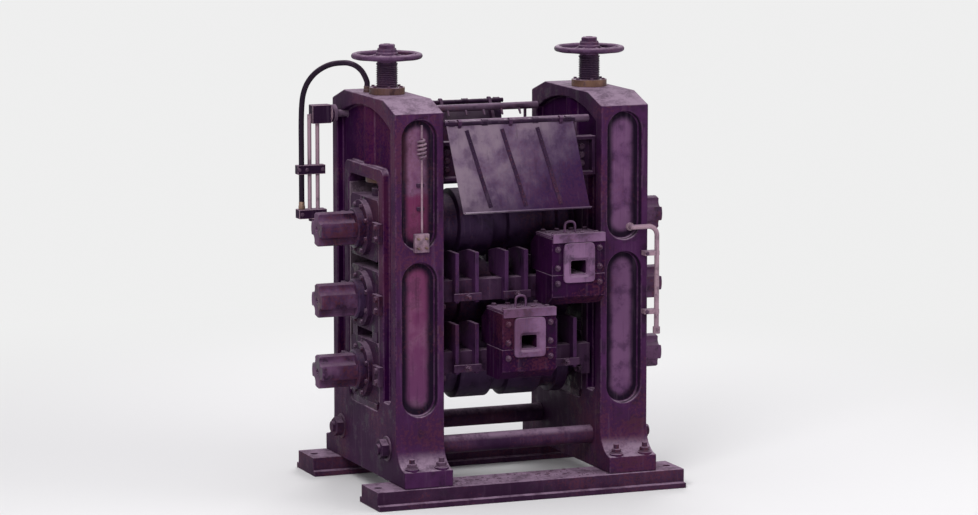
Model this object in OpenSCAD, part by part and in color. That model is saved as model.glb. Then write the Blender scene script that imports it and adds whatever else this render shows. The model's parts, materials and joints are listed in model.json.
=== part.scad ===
// Three-high bar mill stand: two closed-top cast housings on bedplates, three grooved rolls in
// chocks, hand-turned screws over the top roll, guides on rest bars and sloping roll guards.
// Origin at the middle of the floor under the stand. +X runs along the roll axes, the front is
// at -Y and +Z is up. Everything is in millimetres and is drawn with the top roll at rest.

/* [Bedplates] */
// Height of the two bedplates
bed_t = 120; // [90:5:180]
// Length of the bedplates along the roll axes
bed_l = 2120; // [2000:10:2400]
// Width of a bedplate's machined top
bed_top_w = 300; // [260:5:360]
// Width of a bedplate's base flange
bed_base_w = 370; // [340:5:440]
// Thickness of a bedplate's base flange
bed_flange_t = 35; // [20:1:50]
// Radius of the foundation bolt holes
foundation_hole_r = 24; // [16:1:30]
// Distance of the foundation bolts from the bedplate ends
foundation_inset = 60; // [50:5:120]

/* [Housings] */
// Distance between the middle planes of the two housings
housing_pitch = 1410; // [1360:10:1600]
// Thickness of a housing along the roll axes
housing_t = 330; // [300:5:380]
// Height of a housing above its bedplates
housing_h = 2440; // [2400:10:2600]
// Depth of a housing from its front to its rear face
housing_d = 1180; // [1120:10:1300]
// Drop of the sloping shoulders at the front and rear faces
shoulder_drop = 70; // [20:5:120]
// Run of the sloping shoulders
shoulder_run = 220; // [120:10:260]
// Width of the housing window
window_w = 560; // [520:5:600]
// Corner radius of the housing window
window_r = 60; // [20:5:100]
// Height of the bottom crosshead under the window
sill_h = 420; // [340:10:480]
// Height of the top crosshead over the window
crosshead_h = 530; // [500:5:560]
// Length that a foot reaches past the housing face
foot_reach = 160; // [120:5:200]
// Thickness of the feet
foot_t = 110; // [80:5:150]
// Depth of the panels cast into the housing sides
panel_depth = 48; // [10:1:55]
// Width of the rib round those panels at the front and rear faces
edge_rib = 90; // [80:5:110]
// Width of the rib round the window
window_rib = 80; // [60:5:90]
// Height of the rib over those panels
top_rib = 65; // [50:5:90]
// Radius of the arch over the panels
arch_r = 1150; // [700:10:1600]
// Diameter of the boss round the screw nut
boss_d = 300; // [260:5:320]
// Width of the long recesses in the front and rear faces
face_recess_w = 236; // [120:4:250]
// Depth of the long recesses in the front and rear faces
face_recess_depth = 50; // [20:5:60]
// Length of the upper recess
upper_recess_l = 830; // [600:10:900]
// Length of the lower recess
lower_recess_l = 990; // [700:10:1000]
// Distance of the upper recess from the shoulder's edge
recess_drop = 40; // [20:5:80]

/* [Rolls] */
// Diameter of the roll barrels
roll_d = 450; // [420:2:460]
// Length of the roll barrels
barrel_l = 950; // [900:10:1000]
// Gap between the collars of neighbouring rolls
roll_gap = 12; // [11:1:20]
// Diameter of the roll necks
neck_d = 260; // [220:5:270]
// Radius of the fillet between barrel and neck
neck_fillet = 24; // [8:1:30]
// Diameter of the coupling ends
wobbler_d = 220; // [180:5:240]
// Length of the coupling ends
wobbler_l = 240; // [150:5:260]
// Distance that the round necks reach past the housings
neck_past = 80; // [60:5:120]
// Distance between the passes cut in the barrels
pass_pitch = 340; // [300:5:350]
// Width of a pass at the barrel surface
pass_w = 110; // [70:2:120]
// Depth of a pass in each roll
pass_depth = 36; // [20:1:45]

/* [Chocks] */
// Height of a chock
chock_h = 400; // [380:5:420]
// Running clearance of a neck in its bearing, on the radius
neck_clear = 0.08; // [0.03:0.01:0.1]
// Clearance of a chock between its liners, on each side
chock_clear = 0.5; // [0.3:0.1:0.9]
// Distance that a chock face stays inside the housing face
chock_inset = 6; // [5:1:12]
// Thickness of the window liners
liner_t = 18; // [10:1:25]
// Thickness of the packing under the bottom chocks
packing_t = 40; // [20:5:60]
// Thickness of a bearing cover ring
cover_t = 40; // [20:5:60]
// Outer diameter of a bearing cover ring
cover_d = 360; // [320:5:380]
// Thickness of the keeper plates
keeper_t = 30; // [15:5:40]
// Height of the keeper plates
keeper_h = 130; // [90:5:160]
// Lap of a keeper plate over the chock
keeper_lap = 26; // [15:1:40]

/* [Screws] */
// Diameter of the screws
screw_d = 140; // [110:2:150]
// Clearance of a screw in its nut, on the radius
screw_clear = 0.08; // [0.03:0.01:0.1]
// Distance that a screw rises over the crosshead
screw_rise = 200; // [150:5:260]
// Outer diameter of the bronze nuts
nut_d = 210; // [190:2:216]
// Height of the nut inside the crosshead
nut_h = 300; // [220:5:360]
// Diameter of the nut flange
nut_flange_d = 280; // [250:5:300]
// Thickness of the nut flange
nut_flange_t = 35; // [25:1:45]
// Height of the gland ring on the crosshead
gland_h = 45; // [20:5:70]
// Thickness of the breaker blocks on the top chocks
breaker_t = 50; // [40:1:55]
// Diameter of the breaker blocks
breaker_d = 200; // [160:5:220]
// Outer diameter of the handwheels
wheel_d = 460; // [400:10:520]
// Diameter of the handwheel rim's section
rim_d = 42; // [30:1:60]
// Height of the handwheel hub
hub_h = 90; // [70:5:110]
// Diameter of the handwheel hub
hub_d = 140; // [120:5:160]
// Diameter of the spindle that the hub sits on
spindle_d = 90; // [70:2:100]
// Number of spokes in a handwheel
spoke_n = 5; // [3:1:6]
// Diameter of a spoke
spoke_d = 26; // [18:1:36]

/* [Cross members] */
// Height of the separator beams between the housings
separator_h = 250; // [200:5:300]
// Depth of the separator beams
separator_d = 80; // [60:5:120]
// Distance of the separators from the middle plane
separator_y = 420; // [380:5:460]
// Distance of the separators' lower edge over the window top
separator_lift = 10; // [0:5:40]
// Wall thickness of the separator beams
separator_wall = 22; // [15:1:30]
// Diameter of the lower tie rods
tie_d = 72; // [50:2:90]
// Diameter of the spacer tubes on the tie rods
tie_tube_d = 120; // [100:5:140]
// Distance of the tie rods from the middle plane
tie_y = 430; // [400:5:500]
// Height of the tie rods over the bedplates
tie_z = 210; // [150:5:300]
// Height of a rest bar
rest_h = 140; // [100:5:170]
// Thickness of a rest bar
rest_t = 90; // [60:5:120]
// Distance of a rest bar from the middle plane
rest_y = 330; // [300:5:360]
// Distance from a pass line down to the top of its rest bar
rest_drop = 83; // [75:1:100]
// Height of the brackets that carry the rest bars
ledge_h = 60; // [40:5:90]

/* [Guides] */
// Width of a box guide
guide_w = 370; // [240:10:380]
// Height of a box guide over its rest bar
guide_h = 290; // [240:5:300]
// Depth of the lip that hangs in front of the rest bar
guide_lip = 165; // [140:5:170]
// Width of a box guide's nose between the rolls
nose_w = 186; // [160:2:200]
// Thickness of a box guide's cover plate
guide_cover_t = 18; // [10:1:25]
// Thickness of the plate that closes a box guide's mouth over the channel
mouth_t = 30; // [15:5:50]
// Depth of the lip of a plain side guide plate
side_lip = 140; // [80:5:160]
// Reach of a guide in front of the middle plane
guide_reach = 700; // [600:10:740]
// Width of the channel for the bar
channel_w = 110; // [90:2:130]
// Height of the channel for the bar
channel_h = 90; // [80:2:100]
// Distance of the guide noses from the middle plane
nose_y = 190; // [170:5:230]
// Height of the guide noses
nose_h = 136; // [120:2:140]
// Thickness of the plain side guide plates
side_plate_t = 26; // [16:1:36]
// Clearance between pieces that only rest beside each other
seat_gap = 0.3; // [0.1:0.1:0.5]

/* [Roll guards] */
// Width of a guard
guard_w = 865; // [700:5:1000]
// Thickness of the guard sheets
sheet_t = 8; // [4:1:12]
// Height of a guard's top edge under the housing top
guard_top = 150; // [100:5:200]
// Height of a guard sheet
guard_h = 550; // [450:10:580]
// Distance that a guard stands off the housing face at its top
guard_off = 30; // [28:1:60]
// Distance that a guard's foot stands out further than its top
guard_slope = 120; // [60:5:130]
// Width of the bent lip along a guard's foot
guard_lip = 36; // [20:2:36]
// Diameter of the rod that carries a guard
guard_rod_d = 30; // [20:1:40]
// Number of seam straps on a guard
strap_n = 3; // [2:1:3]
// Distance of the first seam strap from a guard's upper left corner
strap_first = 125; // [120:5:200]
// Distance between the seam straps
strap_pitch = 240; // [200:5:250]
// Width of a seam strap
strap_w = 26; // [16:2:60]
// Slant of a guard's sides
guard_slant = 7; // [0:1:12]
// Slant of the seam straps
strap_slant = 14; // [0:1:16]
// Thickness of the arms that carry a guard's rod
arm_t = 24; // [16:2:40]

/* [Water and grease] */
// Diameter of the spray header pipes
pipe_d = 48; // [34:2:60]
// Height of the saddles that carry the headers on the separators
saddle_h = 86; // [30:2:100]
// Distance of the headers from the middle plane
header_y = 430; // [425:5:440]
// Number of spray nozzles on a header
nozzle_n = 7; // [3:1:9]
// Distance of the riser from the housing side
riser_off = 160; // [130:5:180]
// Diameter of the riser's twin pipes
twin_d = 27; // [20:1:34]
// Distance between the riser's twin pipes
twin_pitch = 55; // [45:1:70]
// Diameter of the hose
hose_d = 36; // [20:1:36]
// Thickness of the pipe flanges
flange_t = 20; // [12:1:30]
// Distance of the riser's joint from the housing side
joint_off = 35; // [20:5:60]
// Length of the manifold block over the twin pipes
manifold_l = 130; // [110:5:160]
// Width of the manifold and inlet blocks
manifold_w = 80; // [60:5:100]
// Height of the manifold block
manifold_h = 120; // [100:5:150]
// Length of the inlet block
block_l = 190; // [170:5:220]
// Height of the inlet block
block_h = 60; // [40:5:80]
// Distance of the inlet block under the window top
inlet_drop = 250; // [200:10:300]
// Length of the pipe clamp
clamp_l = 190; // [170:5:220]
// Width and height of the pipe clamp
clamp_w = 60; // [50:2:70]
// Distance of the pipe clamp's inner end from the riser
clamp_past = 45; // [35:5:55]
// Distance of the inlet block's inner end from the riser
block_past = 50; // [40:5:60]
// Height of the pipe clamp over the window top
clamp_lift = 10; // [0:5:40]
// Diameter of the inlet flange
inlet_d = 120; // [110:2:140]
// Bolt circle radius of the inlet flange
inlet_bolt_at = 45; // [40:1:50]
// Radius of the inlet flange's bolt holes
inlet_bolt_r = 7; // [5:0.5:9]
// Diameter of the post pipe
post_pipe_d = 32; // [20:1:40]
// Bend radius of the post pipe
post_bend_r = 60; // [45:5:80]
// Distance of the post pipe from the post's face
post_off = 50; // [40:2:70]
// Distance of the post pipe past the post's side
post_past = 42; // [34:2:60]
// Distance of the post pipe's entry from the post's middle
post_inset = 35; // [20:5:60]
// Height of the post pipe's entry over the upper pass line
post_rise = 230; // [200:10:260]
// Height of the post pipe's foot over the lower pass line
post_foot = 30; // [10:5:60]
// Height of the ferrule on the post pipe's foot
ferrule_h = 45; // [30:5:60]
// Height of the clips on the post pipe
clip_h = 30; // [20:2:40]
// Lap of the clips over the post
clip_lap = 45; // [30:5:60]
// Length of the clips past the post pipe's middle
clip_end = 15; // [12:1:20]
// Reach of the clips in front of the post pipe's middle
clip_front = 12; // [10:1:16]
// Distance of the lower clip over the post pipe's foot
clip_low = 90; // [60:10:140]
// Distance of the upper clip under the post pipe's entry
clip_high = 190; // [160:10:240]

/* [Hidden] */
$fn = 64;
// Small distance that a cut runs past the face that it opens
past = 1;

// Levels
top_z = bed_t + housing_h;
sill_z = bed_t + sill_h;
window_top = top_z - crosshead_h;
roll_pitch = roll_d + roll_gap;
z_bottom = sill_z + packing_t + chock_h / 2;
z_middle = z_bottom + roll_pitch;
z_top = z_middle + roll_pitch;
pass_low = (z_bottom + z_middle) / 2;
pass_high = (z_middle + z_top) / 2;
breaker_z = z_top + chock_h / 2;
screw_tip = breaker_z + breaker_t;
shoulder_z = top_z + screw_rise;

// Places along the roll axes and across them
side = housing_pitch / 2;
inner_x = side - housing_t / 2;
outer_x = side + housing_t / 2;
face_y = housing_d / 2;
bed_y = face_y + foot_reach / 2 - 55;
chock_w = window_w - 2 * liner_t - 2 * chock_clear;
chock_t = housing_t - 2 * chock_inset;
separator_top = window_top + separator_lift + separator_h;
header_z = separator_top + pipe_d / 2 + saddle_h;
header_end = inner_x - 25;
cross_x = -inner_x + 40;
riser_x = -outer_x - riser_off;
inlet_z = window_top - inlet_drop;

// Rectangle with round corners, centred on x and standing on y = 0
module round_rect(w, h, r) {
    translate([-w / 2, r])
        square([w, h - 2 * r]);
    if (w > 2 * r)
        translate([-w / 2 + r, 0])
            square([w - 2 * r, h]);
    for (sx = [-1, 1], y = [r, h - r])
        translate([sx * (w / 2 - r), y])
            circle(r = r);
}

// Carries a profile drawn in Y and Z along X, centred on x
module along_x(length, x = 0) {
    translate([x - length / 2, 0, 0])
        rotate([90, 0, 90])
            linear_extrude(length)
                children();
}

// Carries a profile drawn in X and Z along Y from y to y plus depth
module along_y(depth, y) {
    translate([0, y + depth, 0])
        rotate([90, 0, 0])
            linear_extrude(depth)
                children();
}

// Mirrors the front into the rear
module to_rear() {
    mirror([0, 1, 0])
        children();
}

// Bedplate rail under the feet
module bedplate() {
    color("#4a3d45")
        difference() {
            union() {
                along_x(bed_l)
                    translate([-bed_y - bed_base_w / 2, 0])
                        square([bed_base_w, bed_flange_t]);
                along_x(bed_l)
                    translate([-bed_y - bed_top_w / 2, 0])
                        square([bed_top_w, bed_t]);
            }
            for (sx = [-1, 1])
                translate([sx * (bed_l / 2 - foundation_inset), -bed_y, -past])
                    cylinder(d = 2 * foundation_hole_r, h = bed_t + 2 * past);
        }
}

// Outline of a housing seen from its side, with feet and sloping shoulders
module housing_outline() {
    foot_y = face_y + foot_reach;
    difference() {
        union() {
            polygon([[-face_y, bed_t], [face_y, bed_t], [face_y, top_z - shoulder_drop],
                     [face_y - shoulder_run, top_z], [-face_y + shoulder_run, top_z],
                     [-face_y, top_z - shoulder_drop]]);
            translate([-foot_y, bed_t])
                square([2 * foot_y, foot_t + foot_reach]);
        }
        for (sy = [-1, 1])
            translate([sy * foot_y, bed_t + foot_t + foot_reach])
                circle(r = foot_reach);
    }
}

// Arch-topped panel in a housing side, running down both sides of the window
module side_panel() {
    panel_y = face_y - edge_rib;
    panel_low = sill_z + window_rib;
    panel_top = top_z - top_rib;
    rim_y = window_w / 2 + window_rib;
    difference() {
        intersection() {
            translate([0, panel_low])
                round_rect(2 * panel_y, panel_top - panel_low, window_r);
            translate([0, panel_top - arch_r])
                circle(r = arch_r);
        }
        translate([0, panel_low - 2 * window_r])
            round_rect(2 * rim_y, window_top + window_rib - panel_low + 2 * window_r, window_r);
    }
}

// Closed-top housing casting, drawn at x = 0
module housing_body() {
    difference() {
        along_x(housing_t)
            difference() {
                housing_outline();
                translate([0, sill_z])
                    round_rect(window_w, window_top - sill_z, window_r);
            }
        difference() {
            for (sx = [-1, 1])
                along_x(2 * panel_depth, sx * housing_t / 2)
                    side_panel();
            translate([0, 0, window_top])
                cylinder(d = boss_d, h = crosshead_h);
        }
        for (sy = [0, 1])
            mirror([0, sy, 0])
                along_y(2 * face_recess_depth, -face_y - face_recess_depth) {
                    translate([0, bed_t + foot_t + 2 * foot_reach])
                        round_rect(face_recess_w, lower_recess_l, face_recess_w / 2);
                    translate([0, top_z - shoulder_drop - recess_drop - upper_recess_l])
                        round_rect(face_recess_w, upper_recess_l, face_recess_w / 2);
                }
        translate([0, 0, window_top - past])
            cylinder(d = nut_d + 2 * seat_gap, h = nut_h + 5 + past);
        translate([0, 0, window_top])
            cylinder(d = screw_d + 16, h = crosshead_h + past);
        for (sy = [-1, 1])
            translate([0, sy * tie_y, bed_t + tie_z])
                rotate([0, 90, 0])
                    cylinder(d = tie_d + 2 * seat_gap, h = housing_t + 2 * past, center = true);
    }
}

// Housing on the left, with the hole for the water pipe
module housing_left() {
    color("#3b2836")
        translate([-side, 0, 0])
            difference() {
                housing_body();
                translate([0, header_y, header_z])
                    rotate([0, 90, 0])
                        cylinder(d = pipe_d + 2 * seat_gap, h = housing_t + 2 * past, center = true);
            }
}

// Housing on the right
module housing_right() {
    color("#3b2836")
        translate([side, 0, 0])
            housing_body();
}

// Channel beam with end plates between the housings
module separator() {
    low = window_top + separator_lift;
    color("#45323f") {
        along_x(2 * inner_x)
            difference() {
                translate([-separator_y - separator_d, low])
                    square([separator_d, separator_h]);
                translate([-separator_y - separator_d - past, low + separator_wall])
                    square([separator_d - separator_wall + past, separator_h - 2 * separator_wall]);
            }
        for (sx = [-1, 1])
            along_x(separator_wall, sx * (inner_x - separator_wall / 2))
                translate([-separator_y - separator_d, low])
                    square([separator_d, separator_h]);
    }
}

// Stepped tie rod with a nut outside each housing
module tie_rod() {
    nut_t = 56;
    color("#5b5058")
        translate([0, -tie_y, bed_t + tie_z])
            rotate([0, 90, 0]) {
                cylinder(d = tie_d, h = 2 * (outer_x + nut_t + 20), center = true);
                cylinder(d = tie_tube_d, h = 2 * inner_x, center = true);
                for (sx = [-1, 1])
                    translate([0, 0, sx * (outer_x + nut_t / 2)])
                        cylinder(d = 1.8 * tie_d, h = nut_t, center = true, $fn = 6);
            }
}

// Two rest bars, one under each pass line, with a bolted foot under each end
module rest_bars() {
    reach = inner_x - seat_gap;
    color("#554a52")
        for (z = [pass_low, pass_high])
            translate([0, -rest_y - rest_t, z - rest_drop - rest_h]) {
                translate([-reach, 0, 0])
                    cube([2 * reach, rest_t, rest_h]);
                for (sx = [-1, 1])
                    translate([sx * (reach - 30) - 30, 0, -ledge_h])
                        cube([60, rest_t, ledge_h + 1]);
            }
}

// Foot of a box guide: a tongue over the rest bar and the block that hangs in front of it
module guide_foot(bar_face, floor_z) {
    along_x(nose_w)
        polygon([[-nose_y, -nose_h / 2], [-rest_y, -rest_drop], [-bar_face + seat_gap, -rest_drop],
                 [-bar_face + seat_gap, floor_z], [-nose_y, floor_z]]);
    along_x(guide_w)
        polygon([[-bar_face, -rest_drop - guide_lip], [-guide_reach + 90, -rest_drop - guide_lip],
                 [-guide_reach, -rest_drop - guide_lip + 60], [-guide_reach, floor_z],
                 [-bar_face, floor_z]]);
}

// Walls of a box guide's channel: wear plates that reach between the rolls, and cheeks outside them
module guide_walls(bar_face, low, high) {
    wear_t = (nose_w - channel_w) / 2;
    cheek_t = (guide_w - nose_w) / 2 - seat_gap;
    for (sx = [-1, 1]) {
        along_x(wear_t, sx * (channel_w + wear_t) / 2)
            polygon([[-nose_y, low], [-nose_y, nose_h / 2], [-bar_face, high], [-guide_reach, high],
                     [-guide_reach, low]]);
        along_x(cheek_t, sx * (guide_w - cheek_t) / 2)
            polygon([[-rest_y, low], [-rest_y, rest_drop + 40], [-bar_face, high],
                     [-guide_reach, high], [-guide_reach, low]]);
    }
}

// Box guide built up round its channel, centred on x with its pass line at z
module box_guide(x, z) {
    bar_face = rest_y + rest_t + seat_gap;
    floor_z = -channel_h / 2;
    cover_z = guide_h - rest_drop - guide_cover_t;
    translate([x, 0, z]) {
        guide_foot(bar_face, floor_z);
        guide_walls(bar_face, floor_z + seat_gap, cover_z - seat_gap);
        translate([-guide_w / 2, -guide_reach, cover_z])
            cube([guide_w, guide_reach - bar_face, guide_cover_t]);
        translate([-channel_w / 2 + seat_gap, -guide_reach, channel_h / 2])
            cube([channel_w - 2 * seat_gap, mouth_t, cover_z - seat_gap - channel_h / 2]);
    }
}

// Box guides of the upper and lower pass line
module box_guides() {
    color("#67596a") {
        box_guide(pass_pitch, pass_high);
        box_guide(0, pass_low);
    }
}

// Pair of upright plates beside a pass
module side_plates(x, z) {
    bar_face = rest_y + rest_t + seat_gap;
    for (sx = [-1, 1])
        along_x(side_plate_t, x + sx * (channel_w + side_plate_t) / 2)
            translate([0, z])
                polygon([[-nose_y, -nose_h / 2], [-rest_y, -rest_drop], [-bar_face, -rest_drop],
                         [-bar_face, -rest_drop - side_lip], [-bar_face - 60, -rest_drop - side_lip],
                         [-bar_face - 60, 100], [-rest_y, 100], [-nose_y, nose_h / 2]]);
}

// Side guides of the passes without a box guide
module side_guides() {
    color("#7b6c7c") {
        side_plates(0, pass_high);
        side_plates(-pass_pitch, pass_high);
        for (sx = [-1, 1])
            side_plates(sx * pass_pitch, pass_low);
    }
}

// Strip of a guard's sheet between two distances down its slope, leaning by an angle
module guard_strip(x, w, from, to, slant, t) {
    lean = tan(slant);
    rotate([90, 0, 0])
        linear_extrude(t)
            polygon([[x + from * lean, -from], [x + w + from * lean, -from],
                     [x + w + to * lean, -to], [x + to * lean, -to]]);
}

// Sloping guard that hangs from a rod on arms of the separator, with seam straps and a bent lip
module roll_guard() {
    left = -inner_x + 5;
    high = top_z - guard_top;
    low = high - guard_h;
    near = -face_y - guard_off;
    far = near - guard_slope;
    slope_l = norm([guard_slope, guard_h]);
    foot_left = left + slope_l * tan(guard_slant);
    rod_y = near + sheet_t / 2;
    rod_z = high + guard_rod_d / 2 - 4;
    back_y = -separator_y - separator_d;
    color("#6f6474") {
        translate([0, near, high])
            rotate([-atan(guard_slope / guard_h), 0, 0]) {
                translate([0, sheet_t, 0])
                    guard_strip(left, guard_w, 0, slope_l, guard_slant, sheet_t);
                for (i = [0 : strap_n - 1])
                    translate([0, sheet_t / 2, 0])
                        guard_strip(left + strap_first + i * strap_pitch - strap_w / 2, strap_w,
                                    slope_l * 0.06, slope_l * 0.94, strap_slant, sheet_t);
            }
        along_x(guard_w - 8, foot_left + guard_w / 2)
            polygon([[far + 5, low + 2], [far - guard_lip, low + 2], [far - guard_lip, low + 2 + sheet_t],
                     [far + 5, low + 2 + sheet_t]]);
        translate([left - 12, rod_y, rod_z])
            rotate([0, 90, 0])
                cylinder(d = guard_rod_d, h = guard_w + 24);
        for (f = [0.1, 0.5, 0.9])
            along_x(arm_t, left + guard_w * f)
                polygon([[back_y, separator_top - 90], [back_y, separator_top - 10],
                         [rod_y + 10, rod_z + 22], [rod_y - 22, rod_z + 22], [rod_y - 22, rod_z - 22]]);
    }
}

// Bearing chock with its cover ring, centred on x with the roll axis at z
module chock(x, z) {
    out = x < 0 ? -1 : 1;
    chamfer = 30;
    half_w = chock_w / 2;
    half_h = chock_h / 2;
    color("#4d3f49")
        difference() {
            union() {
                along_x(chock_t, x)
                    translate([0, z])
                        polygon([[-half_w, -half_h + chamfer], [-half_w + chamfer, -half_h],
                                 [half_w - chamfer, -half_h], [half_w, -half_h + chamfer],
                                 [half_w, half_h - chamfer], [half_w - chamfer, half_h],
                                 [-half_w + chamfer, half_h], [-half_w, half_h - chamfer]]);
                translate([x + out * (chock_t + cover_t) / 2, 0, z])
                    rotate([0, 90, 0])
                        cylinder(d = cover_d, h = cover_t, center = true);
            }
            translate([x, 0, z])
                rotate([0, 90, 0])
                    cylinder(d = neck_d + 2 * neck_clear, h = chock_t + 2 * cover_t + 2 * past,
                             center = true);
        }
}

// Packing plate under the bottom chock and spacers between the bottom and middle chocks
module packing(x) {
    spacer_w = 90;
    plate_w = window_w - 2 * window_r;
    color("#6a5a5e") {
        translate([x - chock_t / 2, -plate_w / 2, sill_z])
            cube([chock_t, plate_w, packing_t]);
        for (sy = [-1, 1])
            translate([x - chock_t / 2, sy * (chock_w / 2 - 80) - spacer_w / 2,
                       z_bottom + chock_h / 2])
                cube([chock_t, spacer_w, roll_pitch - chock_h]);
    }
}

// Liners on the window faces of the posts
module liners(x) {
    liner_low = sill_z + window_r;
    liner_h = window_top - window_r - liner_low;
    color("#8a7b72")
        for (sy = [-1, 1])
            translate([x - chock_t / 2, sy * (window_w - liner_t) / 2 - liner_t / 2, liner_low])
                cube([chock_t, liner_t, liner_h]);
}

// Keeper plates bolted outside the posts, lapping over the chocks
module keepers(x) {
    out = x < 0 ? -1 : 1;
    keeper_in = chock_w / 2 - keeper_lap;
    keeper_w = window_w / 2 + window_rib - keeper_in;
    color("#5a4c55")
        for (z = [z_bottom, z_middle, z_top], sy = [-1, 1])
            translate([x + out * (housing_t + keeper_t) / 2 - keeper_t / 2,
                       sy * (keeper_in + keeper_w / 2) - keeper_w / 2, z - keeper_h / 2])
                cube([keeper_t, keeper_w, keeper_h]);
}

// Flanged bronze nut under the crosshead and the gland ring on top of it
module screw_nut(x) {
    color("#8c6a45")
        translate([x, 0, 0])
            difference() {
                union() {
                    translate([0, 0, window_top])
                        cylinder(d = nut_d, h = nut_h);
                    translate([0, 0, window_top - nut_flange_t])
                        cylinder(d = nut_flange_d, h = nut_flange_t);
                    translate([0, 0, top_z])
                        cylinder(d = screw_d + 90, h = gland_h);
                }
                translate([0, 0, window_top - nut_flange_t - past])
                    cylinder(d = screw_d + 2 * screw_clear, h = nut_h + nut_flange_t + 2 * past);
                translate([0, 0, top_z - past])
                    cylinder(d = screw_d + 10, h = gland_h + 2 * past);
            }
}

// Spray nozzles and saddles of a header at the front
module header_fittings() {
    for (i = [0 : nozzle_n - 1])
        translate([(i / (nozzle_n - 1) - 0.5) * 0.8 * barrel_l, -header_y, header_z])
            rotate([-144, 0, 0])
                cylinder(d1 = 22, d2 = 12, h = 62);
    for (sx = [-1, 1])
        translate([sx * barrel_l * 0.45, -header_y, separator_top])
            cylinder(d = 20, h = header_z - separator_top);
}

// Front spray header, fed by the crossover pipe
module spray_header_front() {
    color("#7d6f78") {
        translate([cross_x + pipe_d / 2 + seat_gap, -header_y, header_z])
            rotate([0, 90, 0])
                cylinder(d = pipe_d, h = header_end - cross_x - pipe_d / 2 - seat_gap);
        header_fittings();
    }
}

// Rear spray header with its feed through the left housing and the crossover to the front
module spray_header_rear() {
    joint_x = outer_x + joint_off + flange_t;
    color("#7d6f78") {
        translate([-joint_x, header_y, header_z])
            rotate([0, 90, 0]) {
                cylinder(d = pipe_d, h = joint_x + header_end);
                cylinder(d = 2.4 * pipe_d, h = flange_t);
            }
        translate([cross_x, header_y, header_z])
            rotate([90, 0, 0])
                cylinder(d = pipe_d, h = 2 * header_y + pipe_d / 2);
        to_rear()
            header_fittings();
    }
}

// Riser outside the left housing: manifold, twin pipes, pipe clamp and inlet block
module water_riser() {
    joint_x = -outer_x - joint_off - flange_t;
    clamp_z = window_top + clamp_lift - clamp_w / 2;
    block_z = inlet_z - block_h;
    color("#6d5f68")
        difference() {
            union() {
                translate([joint_x - flange_t, header_y, header_z])
                    rotate([0, 90, 0])
                        cylinder(d = 2.4 * pipe_d, h = flange_t);
                translate([joint_x - flange_t - manifold_l, header_y - manifold_w / 2,
                           header_z - manifold_h / 2])
                    cube([manifold_l, manifold_w, manifold_h]);
                for (i = [0, 1])
                    translate([riser_x - i * twin_pitch, header_y, inlet_z])
                        cylinder(d = twin_d, h = header_z - inlet_z);
                translate([riser_x + clamp_past - clamp_l, header_y - clamp_w / 2, clamp_z])
                    cube([clamp_l, clamp_w, clamp_w]);
                translate([riser_x + block_past - block_l, header_y - manifold_w / 2, block_z])
                    cube([block_l, manifold_w, block_h]);
                translate([riser_x, header_y, block_z - flange_t])
                    cylinder(d = inlet_d, h = flange_t + past);
            }
            translate([hose_end[0], hose_end[1], clamp_z - past])
                cylinder(d = hose_d + 2 * seat_gap + 4, h = clamp_w + 2 * past);
            for (a = [45 : 90 : 315])
                translate([riser_x, header_y, block_z - flange_t - past])
                    rotate([0, 0, a])
                        translate([inlet_bolt_at, 0, 0])
                            cylinder(r = inlet_bolt_r, h = flange_t + past);
        }
}

// Route of the hose, from the fitting beside the left screw down to the riser's inlet block
hose_route = [[-790, 140, 2602], [-790, 140, 2624], [-797, 146, 2650], [-816, 162, 2693],
              [-846, 186, 2726], [-882, 217, 2743], [-917, 246, 2745], [-974, 293, 2735],
              [-1027, 338, 2706], [-1073, 376, 2661], [-1108, 405, 2601], [-1128, 422, 2532],
              [-1136, 429, 2457], [-1139, 431, 2370], [-1140, 431, 2280], [-1140, 430, 2190],
              [-1140, 430, 2100], [-1140, 430, 1980], [-1140, 430, 1900], [-1140, 430, 1830]];

hose_end = hose_route[len(hose_route) - 1];

// Unit vector along v
function unit(v) = v / norm(v);
// Direction of a route at its point i
function heading(p, i) = unit(p[min(i + 1, len(p) - 1)] - p[max(i - 1, 0)]);
// Ring of n points round point i of a route
function ring(p, i, r, n) =
    let (t = heading(p, i), u = unit(cross(t, [0.3, 1, 0])), v = cross(t, u))
    [for (k = [0 : n - 1]) p[i] + r * cos(360 * k / n) * u + r * sin(360 * k / n) * v];

// Tube of n sides swept along a route
module tube(p, r, n) {
    m = len(p);
    points = [for (i = [0 : m - 1]) each ring(p, i, r, n)];
    walls = [for (i = [0 : m - 2], k = [0 : n - 1])
        [i * n + k, i * n + (k + 1) % n, (i + 1) * n + (k + 1) % n, (i + 1) * n + k]];
    start = [for (k = [n - 1 : -1 : 0]) k];
    finish = [for (k = [0 : n - 1]) (m - 1) * n + k];
    polyhedron(points, concat(walls, [start, finish]));
}

// Hose that hangs outside the left housing
module hose() {
    color("#241f24")
        tube(hose_route, hose_d / 2, 10);
}

// Fittings at the two ends of the hose
module hose_fittings() {
    first = hose_route[0];
    color("#9a8d80") {
        translate([first[0], first[1], top_z])
            cylinder(d = hose_d + 12, h = first[2] - top_z);
        translate([hose_end[0], hose_end[1], inlet_z])
            cylinder(d = hose_d + 8, h = hose_end[2] - inlet_z);
    }
}

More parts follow.
